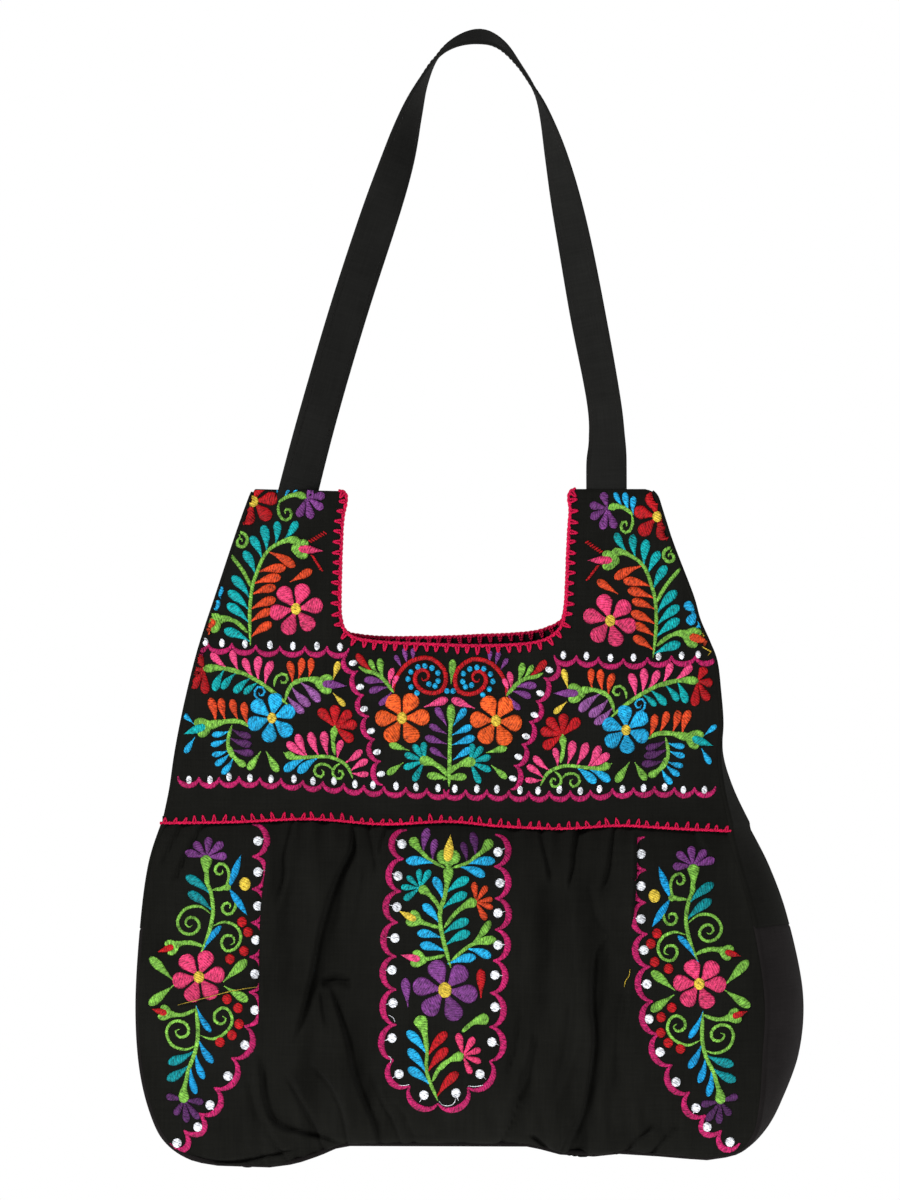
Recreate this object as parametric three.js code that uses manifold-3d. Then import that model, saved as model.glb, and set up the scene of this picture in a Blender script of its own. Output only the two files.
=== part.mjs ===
// A soft black shoulder bag: a flat yoke with a square neckline, a gathered pouch below it,
// a gusset round its sides and bottom, and one long strap. Millimetres, +Z up, front towards -Y.
import * as THREE from "three";
import { mergeVertices } from "three/addons/utils/BufferGeometryUtils.js";
import Module from "manifold-3d";

const wasm = await Module();
wasm.setup();

// Driving dimensions. The bag's own datum is the middle of the front waist seam.
const CLOTH = 1.6; // folded cotton, two layers with interfacing
const GAP = 0.3; // between neighbouring pieces
const YOKE_HEIGHT = 215; // waist seam to the top of the shoulders
const NECK_HALF_WIDTH = 74.7;
const NECK_CORNER_RADIUS = 17;
const FRONT_NECK_Z = 113.8;
const BACK_NECK_Z = 120.6; // the back stands a little higher than the front
const EDGING_RADIUS = 1.2; // crocheted border along the neckline and the waist
const WAIST_EDGING_HALF_WIDTH = 179;
const STRAP_WIDTH = 26;
const STRAP_THICKNESS = 2.4;
const GUSSET_SEAM_Z = -65; // where each side gusset meets the bottom gusset
const HANG_POINT = { x: 17.9, z: 503.9 }; // inner face of the strap at its top, the origin

// Yoke sections from the waist up. depth is how far the side seam lies from the middle plane,
// bulge is how much further the middle of the cloth stands, shift moves the back to the right.
const YOKE_SECTIONS = [
  { z: 0, halfWidth: 182, depth: 22, bulge: 10, shift: 10 },
  { z: 45, halfWidth: 176, depth: 19, bulge: 10, shift: 3 },
  { z: 86, halfWidth: 171.2, depth: 15.5, bulge: 9, shift: 0 },
  { z: 118, halfWidth: 163.8, depth: 12, bulge: 7.5, shift: 0 },
  { z: 148, halfWidth: 153.3, depth: 8.8, bulge: 4.5, shift: 0 },
  { z: 179, halfWidth: 142, depth: 5.8, bulge: 2, shift: 0 },
  { z: 207, halfWidth: 132.5, depth: 3.6, bulge: 0.3, shift: 0 },
  { z: YOKE_HEIGHT, halfWidth: 128, depth: 3.4, bulge: 0, shift: 0 },
];

// Pouch sections from the waist down. edgeZ is the height at the side seam, middleZ on the
// centre line, so that the last section is the bottom seam with its two drooping corners.
const POUCH_SECTIONS = [
  { edgeZ: 0, middleZ: 0, halfWidth: 182, depth: 22, bulge: 10, shift: 10 },
  { edgeZ: -25, middleZ: -25, halfWidth: 190.5, depth: 27, bulge: 17, shift: 14 },
  { edgeZ: -60, middleZ: -60, halfWidth: 198, depth: 32, bulge: 19, shift: 18 },
  { edgeZ: -110, middleZ: -108, halfWidth: 202, depth: 34, bulge: 18, shift: 21 },
  { edgeZ: -150, middleZ: -146, halfWidth: 200.5, depth: 34, bulge: 16, shift: 19 },
  { edgeZ: -180, middleZ: -173, halfWidth: 195, depth: 33, bulge: 13, shift: 14 },
  { edgeZ: -201, middleZ: -190, halfWidth: 184, depth: 30, bulge: 8, shift: 7 },
  { edgeZ: -213, middleZ: -199, halfWidth: 165, depth: 27, bulge: 3, shift: 4 },
  { edgeZ: -217, middleZ: -204, halfWidth: 140, depth: 23, bulge: 0, shift: 2 },
];
const CROWN_POWER = 2.5; // how late the cloth turns back towards its side seams
const LOBE = { from: 0.35, to: 0.8 }; // where the bottom seam drops into its corners
const GUSSET_BULGE = { height: 6, fromWidth: 60 }; // less where the gusset is narrower
const GUSSET_INSET = CLOTH * 1.2 + GAP; // keeps the gusset clear of the two panels it joins
const GUSSET_SEAM_GAP = 0.0003; // between two gusset pieces, as a share of the whole seam
const SEAM_STEP = 0.004; // for the direction of the seam

// Gather folds of the pouch: each is a valley from a high point to a low point.
const FOLDS = [
  { topX: -102, topZ: 0, lowX: -107, lowZ: -42, width: 8, depth: 5 },
  { topX: -66, topZ: 0, lowX: -98, lowZ: -135, width: 8, depth: 6 },
  { topX: -50, topZ: 0, lowX: -52, lowZ: -40, width: 7, depth: 4.5 },
  { topX: -77, topZ: -102, lowX: -46, lowZ: -204, width: 8, depth: 5.5 },
  { topX: -122, topZ: -120, lowX: -112, lowZ: -208, width: 9, depth: 5.5 },
  { topX: -94, topZ: -150, lowX: -66, lowZ: -206, width: 8, depth: 5.5 },
  { topX: 58, topZ: 0, lowX: 62, lowZ: -45, width: 7, depth: 4.5 },
  { topX: 79, topZ: 0, lowX: 72, lowZ: -95, width: 8, depth: 5 },
  { topX: 102, topZ: 0, lowX: 103, lowZ: -48, width: 8, depth: 5 },
  { topX: 98, topZ: -70, lowX: 72, lowZ: -206, width: 8, depth: 6 },
  { topX: 59, topZ: -125, lowX: 30, lowZ: -204, width: 8, depth: 5.5 },
  { topX: 128, topZ: -160, lowX: 108, lowZ: -208, width: 9, depth: 5 },
];
const FOLD_FADE = 22; // length over which a fold dies out at an open end
const SEAM_FADE = 6; // and at a seam, which holds it flat only at the stitches

// The strap's centre line from the left shoulder over the top to the right one.
// turn is 0 where its face looks forward and 90 where it shows its edge.
const STRAP_STATIONS = [
  { x: -102.4, z: 196, turn: 0 },
  { x: -97.6, z: 217.6, turn: 0 },
  { x: -82.9, z: 272.6, turn: 16 },
  { x: -65.9, z: 330.2, turn: 20 },
  { x: -47.4, z: 387.8, turn: 22 },
  { x: -34.9, z: 426.2, turn: 36 },
  { x: -25.6, z: 457, turn: 56 },
  { x: -18.6, z: 476.2, turn: 74 },
  { x: -9.6, z: 492.2, turn: 90 },
  { x: 2.6, z: 501.6, turn: 104 },
  { x: 17.9, z: 505, turn: 115 },
  { x: 31, z: 500, turn: 106 },
  { x: 42.2, z: 487.7, turn: 98 },
  { x: 52.2, z: 472.3, turn: 90 },
  { x: 58.9, z: 457, turn: 76 },
  { x: 67.2, z: 426.2, turn: 56 },
  { x: 75.5, z: 387.8, turn: 40 },
  { x: 86.4, z: 330.2, turn: 31 },
  { x: 97.3, z: 272.6, turn: 30 },
  { x: 98.9, z: 240, turn: 8 },
  { x: 98.9, z: 217.6, turn: 0 },
  { x: 98.9, z: 196, turn: 0 },
];

const blackCotton = new THREE.MeshStandardMaterial({ color: 0x1b1a19, roughness: 0.9 });
const greyCotton = new THREE.MeshStandardMaterial({ color: 0x232121, roughness: 0.9 });
const pinkYarn = new THREE.MeshStandardMaterial({ color: 0xd81e5b, roughness: 0.8 });

// A column of a section table as a smooth function of t, which runs from 0 to 1 down the table.
function smoothColumn(table, name) {
  const curve = new THREE.SplineCurve(table.map((row, i) => new THREE.Vector2(i, row[name])));
  return (t) => curve.getPoint(t).y;
}

function smoothTable(table) {
  const names = Object.keys(table[0]);
  const columns = Object.fromEntries(names.map((name) => [name, smoothColumn(table, name)]));
  return (t) => Object.fromEntries(names.map((name) => [name, columns[name](t)]));
}

// The t at which a height that rises or falls steadily with t reaches a target.
function shareWhere(heightAt, target, [from, to] = [0, 1]) {
  const rising = heightAt(to) > heightAt(from);
  let [low, high] = [from, to];
  for (let i = 0; i < 40; i++) {
    const middle = (low + high) / 2;
    if (heightAt(middle) < target === rising) low = middle;
    else high = middle;
  }
  return low;
}

const yokeSection = smoothTable(YOKE_SECTIONS);
const pouchSection = smoothTable(POUCH_SECTIONS);
const yokeHem = shareWhere((t) => yokeSection(t).z, GAP / 2);
const pouchTop = shareWhere((t) => pouchSection(t).middleZ, -GAP / 2, [0, 0.1]);
const crown = (across) => 1 - Math.abs(across) ** CROWN_POWER;

// How far the gathers press the cloth in at a point of the pouch.
function foldDepth(x, z, mirror) {
  let depth = 0;
  for (const fold of FOLDS) {
    const along = THREE.MathUtils.clamp((fold.topZ - z) / (fold.topZ - fold.lowZ), 0, 1);
    const middle = THREE.MathUtils.lerp(fold.topX, fold.lowX, along) * mirror;
    const topFade = fold.topZ === 0 ? SEAM_FADE : FOLD_FADE;
    const lowFade = fold.lowZ < POUCH_SECTIONS.at(-1).middleZ + 1 ? SEAM_FADE : FOLD_FADE;
    const fade =
      THREE.MathUtils.smoothstep(fold.topZ - z, -1, topFade) *
      THREE.MathUtils.smoothstep(z - fold.lowZ, -1, lowFade);
    depth += fold.depth * fade * Math.exp(-(((x - middle) / fold.width) ** 2));
  }
  return depth;
}

// side is -1 for the front and +1 for the back. across runs from -1 at the left seam to +1.
function yokePoint(side, across, t) {
  const { z, halfWidth, depth, bulge, shift } = yokeSection(t);
  const x = across * halfWidth + (side > 0 ? shift : 0);
  return new THREE.Vector3(x, side * (depth + bulge * crown(across)), z);
}

function pouchPoint(side, across, t) {
  const { edgeZ, middleZ, halfWidth, depth, bulge, shift } = pouchSection(t);
  const lobe = THREE.MathUtils.smoothstep(Math.abs(across), LOBE.from, LOBE.to);
  const z = THREE.MathUtils.lerp(middleZ, edgeZ, lobe);
  const x = across * halfWidth;
  const away = depth + bulge * crown(across) - foldDepth(x, z, -side) * crown(across);
  return new THREE.Vector3(x + (side > 0 ? shift : 0), side * away, z);
}

// A closed wall of cloth: a slab of columns by rows cells, bent so that its outer face follows
// point(u, v), with u and v from 0 to 1, and its inner face lies one thickness behind.
function clothWall(columns, rows, thickness, point) {
  const STEP = 1e-3;
  const normalAt = (u, v) => {
    const du = point(Math.min(u + STEP, 1), v).sub(point(Math.max(u - STEP, 0), v));
    const dv = point(u, Math.min(v + STEP, 1)).sub(point(u, Math.max(v - STEP, 0)));
    return du.cross(dv).normalize();
  };
  const slab = new THREE.BoxGeometry(1, 1, 1, columns, rows, 1);
  slab.deleteAttribute("normal");
  slab.deleteAttribute("uv");
  const wall = mergeVertices(slab);
  const place = wall.getAttribute("position");
  for (let i = 0; i < place.count; i++) {
    const u = place.getX(i) + 0.5;
    const v = place.getY(i) + 0.5;
    const moved = point(u, v);
    if (place.getZ(i) < 0) moved.addScaledVector(normalAt(u, v), -thickness);
    place.setXYZ(i, moved.x, moved.y, moved.z);
  }
  return wall;
}

function toSolid(geometry) {
  const bare = geometry.clone();
  bare.deleteAttribute("normal");
  bare.deleteAttribute("uv");
  const merged = mergeVertices(bare);
  const mesh = new wasm.Mesh({
    numProp: 3,
    vertProperties: merged.getAttribute("position").array,
    triVerts: new Uint32Array(merged.index.array),
  });
  return new wasm.Manifold(mesh);
}

function toGeometry(solid) {
  const { vertProperties, triVerts } = solid.getMesh();
  const geometry = new THREE.BufferGeometry();
  geometry.setAttribute("position", new THREE.BufferAttribute(vertProperties, 3));
  geometry.setIndex(new THREE.BufferAttribute(triVerts, 1));
  return geometry;
}

// The neckline from the left shoulder round to the right one, inset into the opening.
function necklineShape(bottomZ, inset, topZ) {
  const halfWidth = NECK_HALF_WIDTH - inset;
  const radius = NECK_CORNER_RADIUS - inset;
  const bottom = bottomZ + inset;
  const line = new THREE.Path();
  line.moveTo(-halfWidth, topZ);
  line.lineTo(-halfWidth, bottom + radius);
  line.absarc(-halfWidth + radius, bottom + radius, radius, Math.PI, 1.5 * Math.PI, false);
  line.lineTo(halfWidth - radius, bottom);
  line.absarc(halfWidth - radius, bottom + radius, radius, 1.5 * Math.PI, 2 * Math.PI, false);
  line.lineTo(halfWidth, topZ);
  return line;
}

// Each yoke is cut by a prism that stops at the middle plane, since the two necklines differ.
function yokeGeometry(side, neckZ) {
  const [columns, rows] = [28, 12];
  const wall = clothWall(columns, rows, CLOTH, (u, v) =>
    yokePoint(side, (side < 0 ? 2 * u - 1 : 1 - 2 * u), THREE.MathUtils.lerp(yokeHem, 1, v)),
  );
  const cutDepth = 60;
  const cutTop = YOKE_HEIGHT + 20;
  const arcSteps = 8;
  const shape = new THREE.Shape(necklineShape(neckZ, 0, cutTop).getPoints(arcSteps));
  const cutter = new THREE.ExtrudeGeometry(shape, { depth: cutDepth, bevelEnabled: false });
  cutter.rotateX(Math.PI / 2); // the outline stands upright, and the prism runs towards -Y
  if (side > 0) cutter.translate(0, cutDepth, 0);
  return toGeometry(toSolid(wall).subtract(toSolid(cutter)));
}

function pouchGeometry(side, columns, rows) {
  return clothWall(columns, rows, CLOTH, (u, v) =>
    pouchPoint(side, (side < 0 ? 2 * u - 1 : 1 - 2 * u), THREE.MathUtils.lerp(1, pouchTop, v)),
  );
}

// The seam that runs down one side of a panel, along its bottom and up the other side.
// s runs from 0 at the left shoulder to 1 at the right one.
const YOKE_SHARE = 0.22;
const SIDE_SHARE = 0.44;
function seamPoint(side, s) {
  const half = s <= 0.5 ? -1 : 1;
  const down = s <= 0.5 ? s : 1 - s;
  if (down < YOKE_SHARE) return yokePoint(side, half, 1 - down / YOKE_SHARE);
  if (down < SIDE_SHARE) {
    return pouchPoint(side, half, (down - YOKE_SHARE) / (SIDE_SHARE - YOKE_SHARE));
  }
  return pouchPoint(side, (s - 0.5) / (0.5 - SIDE_SHARE), 1);
}

// A stretch of the gusset, from s = start to s = end, between the front and the back seams.
// Its edges stop short of the two panels by their thickness and the gap.
function gussetGeometry(start, end, steps) {
  const across = 4;
  return clothWall(steps, across, CLOTH, (u, v) => {
    const s = THREE.MathUtils.lerp(start, end, u);
    const front = seamPoint(-1, s);
    const back = seamPoint(1, s);
    const width = front.distanceTo(back);
    const inset = Math.min(GUSSET_INSET / width, 0.4);
    const share = THREE.MathUtils.lerp(1 - inset, inset, v);
    const before = seamPoint(-1, Math.max(s - SEAM_STEP, 0));
    const ahead = seamPoint(-1, Math.min(s + SEAM_STEP, 1)).sub(before);
    const outward = new THREE.Vector3(ahead.z, 0, -ahead.x).normalize();
    const swell = GUSSET_BULGE.height * Math.min(width / GUSSET_BULGE.fromWidth, 1);
    return front.lerp(back, share).addScaledVector(outward, swell * 4 * share * (1 - share));
  });
}

// The strap is a folded band that turns about its centre line as it goes over the top.
function strapGeometry(steps) {
  const line = new THREE.CatmullRomCurve3(
    STRAP_STATIONS.map(({ x, z }) => new THREE.Vector3(x, 0, z)),
    false,
    "centripetal",
  );
  const turnAt = smoothColumn(STRAP_STATIONS, "turn");
  const slab = new THREE.BoxGeometry(STRAP_WIDTH, STRAP_THICKNESS, 1, 2, 1, steps);
  slab.deleteAttribute("normal");
  slab.deleteAttribute("uv");
  const strap = mergeVertices(slab);
  const place = strap.getAttribute("position");
  for (let i = 0; i < place.count; i++) {
    const t = place.getZ(i) + 0.5;
    const centre = line.getPoint(t);
    const tangent = line.getTangent(t);
    const turn = THREE.MathUtils.degToRad(turnAt(t));
    const inPlane = new THREE.Vector3(tangent.z, 0, -tangent.x);
    const sideways = inPlane.multiplyScalar(Math.cos(turn)).add(new THREE.Vector3(0, -Math.sin(turn), 0));
    const facing = new THREE.Vector3().crossVectors(tangent, sideways);
    centre.addScaledVector(sideways, place.getX(i)).addScaledVector(facing, place.getY(i));
    place.setXYZ(i, centre.x, centre.y, centre.z);
  }
  return strap;
}

function yarnTube(points, steps) {
  const sides = 6;
  const section = new THREE.Shape();
  for (let i = 0; i < sides; i++) {
    const angle = (2 * Math.PI * i) / sides;
    const [x, y] = [EDGING_RADIUS * Math.cos(angle), EDGING_RADIUS * Math.sin(angle)];
    if (i === 0) section.moveTo(x, y);
    else section.lineTo(x, y);
  }
  section.closePath();
  const extrudePath = new THREE.CatmullRomCurve3(points, false, "centripetal");
  return new THREE.ExtrudeGeometry(section, { extrudePath, steps, curveSegments: 1 });
}

// The yoke's outer face at a place in the front view.
function yokeFace(side, x, z) {
  const t = shareWhere((share) => yokeSection(share).z, z);
  const { halfWidth, shift } = yokeSection(t);
  return yokePoint(side, (x - (side > 0 ? shift : 0)) / halfWidth, t);
}

// The neck edging sits in the middle of the cloth's thickness, just inside the cut edge.
function neckEdging(side, neckZ) {
  const inset = EDGING_RADIUS + GAP;
  const topZ = YOKE_HEIGHT - 1;
  const outline = necklineShape(neckZ, inset, topZ).getSpacedPoints(40);
  const points = outline.map(({ x, y: z }) => {
    const face = yokeFace(side, x, z);
    return new THREE.Vector3(x, face.y - (side * CLOTH) / 2, z);
  });
  return yarnTube(points, 52);
}

// The waist edging lies on the yoke's hem, in front of it.
function waistEdging() {
  const stitchZ = EDGING_RADIUS + 0.6;
  const count = 24;
  const points = [];
  for (let i = 0; i <= count; i++) {
    const x = THREE.MathUtils.lerp(-WAIST_EDGING_HALF_WIDTH, WAIST_EDGING_HALF_WIDTH, i / count);
    const face = yokeFace(-1, x, stitchZ);
    points.push(new THREE.Vector3(x, face.y - EDGING_RADIUS - GAP, stitchZ));
  }
  return yarnTube(points, 36);
}

const bag = new THREE.Group();
function addPiece(name, geometry, material) {
  const piece = new THREE.Mesh(geometry, material);
  piece.name = name;
  bag.add(piece);
}

const seamShare = shareWhere((s) => seamPoint(-1, s).z, GUSSET_SEAM_Z, [YOKE_SHARE, SIDE_SHARE]);
const leftEnd = seamShare - GUSSET_SEAM_GAP;
const rightStart = 1 - seamShare + GUSSET_SEAM_GAP;
const shoulder = { left: 0.001, right: 0.999 };

addPiece("front_yoke", yokeGeometry(-1, FRONT_NECK_Z), blackCotton);
addPiece("back_yoke", yokeGeometry(1, BACK_NECK_Z), blackCotton);
addPiece("front_pouch", pouchGeometry(-1, 46, 15), blackCotton);
addPiece("back_pouch", pouchGeometry(1, 36, 13), blackCotton);
addPiece("left_side_gusset", gussetGeometry(shoulder.left, leftEnd, 16), blackCotton);
addPiece("right_side_gusset", gussetGeometry(rightStart, shoulder.right, 16), blackCotton);
addPiece("bottom_gusset", gussetGeometry(seamShare, 1 - seamShare, 44), greyCotton);
addPiece("strap", strapGeometry(52), blackCotton);
addPiece("front_neck_edging", neckEdging(-1, FRONT_NECK_Z), pinkYarn);
addPiece("back_neck_edging", neckEdging(1, BACK_NECK_Z), pinkYarn);
addPiece("waist_edging", waistEdging(), pinkYarn);

bag.position.set(-HANG_POINT.x, 0, -HANG_POINT.z);
const part = new THREE.Group();
part.add(bag);

export default part;
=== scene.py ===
"""Embroidered cotton shoulder bag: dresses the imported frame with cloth, crochet yarn and thread."""

import math

import bmesh
import bpy
import numpy as np
from mathutils.bvhtree import BVHTree
from mathutils.kdtree import KDTree
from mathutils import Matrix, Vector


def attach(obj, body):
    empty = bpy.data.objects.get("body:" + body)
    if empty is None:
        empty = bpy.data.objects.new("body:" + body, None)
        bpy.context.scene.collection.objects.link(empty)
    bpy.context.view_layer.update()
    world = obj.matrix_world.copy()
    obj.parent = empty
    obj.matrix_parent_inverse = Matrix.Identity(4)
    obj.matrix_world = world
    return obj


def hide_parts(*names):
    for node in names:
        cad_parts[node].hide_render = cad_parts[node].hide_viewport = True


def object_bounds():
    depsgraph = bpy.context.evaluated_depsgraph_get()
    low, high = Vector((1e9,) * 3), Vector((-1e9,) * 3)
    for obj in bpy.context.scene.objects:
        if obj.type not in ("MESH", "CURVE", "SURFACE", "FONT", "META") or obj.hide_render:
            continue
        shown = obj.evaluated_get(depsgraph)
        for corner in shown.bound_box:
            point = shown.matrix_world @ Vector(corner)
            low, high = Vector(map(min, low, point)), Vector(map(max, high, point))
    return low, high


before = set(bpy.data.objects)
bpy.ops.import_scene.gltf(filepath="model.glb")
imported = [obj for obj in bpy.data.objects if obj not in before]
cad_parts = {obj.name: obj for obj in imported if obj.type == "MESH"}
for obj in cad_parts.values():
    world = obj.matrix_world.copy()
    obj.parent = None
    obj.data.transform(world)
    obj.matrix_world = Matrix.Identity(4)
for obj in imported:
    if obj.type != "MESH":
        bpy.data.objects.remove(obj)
CAD_BOX = [list(corner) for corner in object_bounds()]

bl_info = {
    "name": "Embroidered shoulder bag",
    "version": (1, 0, 0),
    "blender": (4, 5, 0),
    "location": "View3D > Sidebar > Bag",
    "description": "Sews, crochets and embroiders a cotton shoulder bag on its packed frame",
    "category": "Add Mesh",
}

SEED = 11
MM = 0.001

# Photograph frame: pixels on the hang plane, seen by a camera that looks along +Y.
PIXEL = 0.00064
PIXEL_MM = PIXEL / MM
HANG_X = 479.97
HANG_Y = 38.66
FRAME_WIDTH = 900
FRAME_HEIGHT = 1200
CAMERA_DISTANCE = 6.0
SENSOR = 36.0
VIEW_X = (FRAME_WIDTH / 2 - HANG_X) * PIXEL
VIEW_Z = (HANG_Y - FRAME_HEIGHT / 2) * PIXEL

# Yoke sections from the shoulder down. Pixels for row, left and right, millimetres for the rest.
YOKE_ROWS = (
    # row, left, right, depth, bulge, shift
    (489, 255, 645.5, 0.6, 0, 0),
    (491, 253.4, 651.4, 1.3, 0, 0),
    (494.5, 251.6, 655.4, 2.2, 0, 0),
    (499, 249.8, 657.8, 3.0, 0.1, 0),
    (506, 247.2, 660, 3.7, 0.4, 0),
    (522, 241.4, 665, 4.5, 1, 0),
    (546, 233.2, 672.9, 5.8, 2, 0),
    (595, 217, 691.8, 8.8, 4.5, 0),
    (620, 208.6, 699, 10.4, 6, 0),
    (642, 201.5, 708.6, 12, 7.5, 0),
    (662, 195.8, 716, 13.4, 8.2, 0),
    (692, 188.4, 719.6, 15.5, 9, 0),
    (724, 181.4, 721.8, 17.2, 9.5, 0.5),
    (756, 175.4, 719.6, 19, 10, 2.4),
    (790, 170.2, 723.4, 20.6, 10, 6.8),
    (826, 162.6, 731, 22, 10, 13),
)

# Pouch sections from the waist down. The edge rows hang lower than the middle ones.
WAIST_ROW = 826
POUCH_ROWS = (
    # edge row, middle row, left, right, depth, bulge, shift
    (826, 826, 162.6, 731, 22, 10, 13),
    (865, 865, 150, 740, 27, 17, 19.5),
    (920, 920, 142.2, 754, 32, 19, 22.5),
    (998, 995, 137, 766, 34, 18, 25),
    (1060, 1054, 139.6, 764, 34, 16, 23.5),
    (1107, 1096, 149.6, 761, 33, 13, 13),
    (1140, 1122, 165.5, 754.5, 30, 8, 2),
    (1158.5, 1137.5, 191, 737, 27, 3, 1),
    (1165.5, 1143.5, 226, 702, 23, 0, 0),
)

# How far the hem hangs below its middle, in pixels.
HEM_DROPS = (
    # x, drop
    (226, 22), (262, 23), (282, 21.6), (300, 17.4), (320, 10.4), (338, 2.6), (352, 0.8), (375, 0.2),
    (440, 0), (500, 0.2), (524, 1), (542, 4.6), (560, 9.6), (580, 12), (602, 11.4), (620, 8.8), (640, 9.4),
    (660, 11.6), (680, 12.6), (702, 16),
)
CROWN_POWER = 2.5
WAIST_FADE = 120

# Hem of the yoke, where the pouch is gathered in, in pixels.
WAIST_LINE = (
    # x, y
    (160, 823), (231, 822), (311, 819), (382, 824), (450, 821.5),
    (499, 826), (563, 828.5), (619, 825.5), (676, 828.5), (731, 831),
)

# Front neckline from the left shoulder round to the right one, in pixels.
NECKLINE = (
    # x, y
    (338.6, 491), (342.4, 491.4), (345.2, 493.6), (346.2, 497.6), (345.6, 504), (342.6, 519),
    (341, 548), (339.8, 582), (339.5, 604), (340.4, 618.5),
    (344.6, 631), (356, 638.6), (378, 642), (404, 643.6), (430, 644.6), (456, 645.6), (482, 646),
    (508, 645.3), (533, 643), (550, 637.4), (561.5, 626), (565.6, 608), (566.8, 590), (568, 555),
    (569.4, 526), (570.4, 509), (569, 500), (569.2, 494.6), (571.6, 490.8), (575.6, 489),
)
NECK_CORNERS = (0.283, 0.727)
NECK_MIDDLE = (455, 540)
BACK_NECK_RISE = (
    # x, rise of the back edge over the front one
    (343, 0), (357, 3.6), (378, 4.4), (430, 6.8), (482, 10.4), (533, 10.6), (550, 10), (560, 6.4), (565, 0),
)
BACK_NECK_FROM = 590
BACK_NECK_FULL = 620

# Strap route in pixels, with the turn of the band out of the picture plane in degrees.
STRAP_STATIONS = (
    # x, y, turn
    (292, 520, 10), (299.5, 486, 14), (322.5, 400, 20), (349, 310, 20), (378, 220, 22),
    (397.5, 160, 37), (412, 112, 60), (423, 82, 78.5), (437, 57, 92), (456, 42.3, 105),
    (480, 37, 114), (500.4, 44.8, 105), (518, 64, 95.5), (533.6, 88, 91.5), (544, 112, 79),
    (557, 160, 57), (570, 220, 40), (587, 310, 31), (603.6, 400, 35), (607, 440, 27), (606.5, 464, 6),
    (606.5, 486, 0), (606.5, 520, 0),
)
STRAP_COLUMNS = ((299.5, 20), (606.5, 20))

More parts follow.
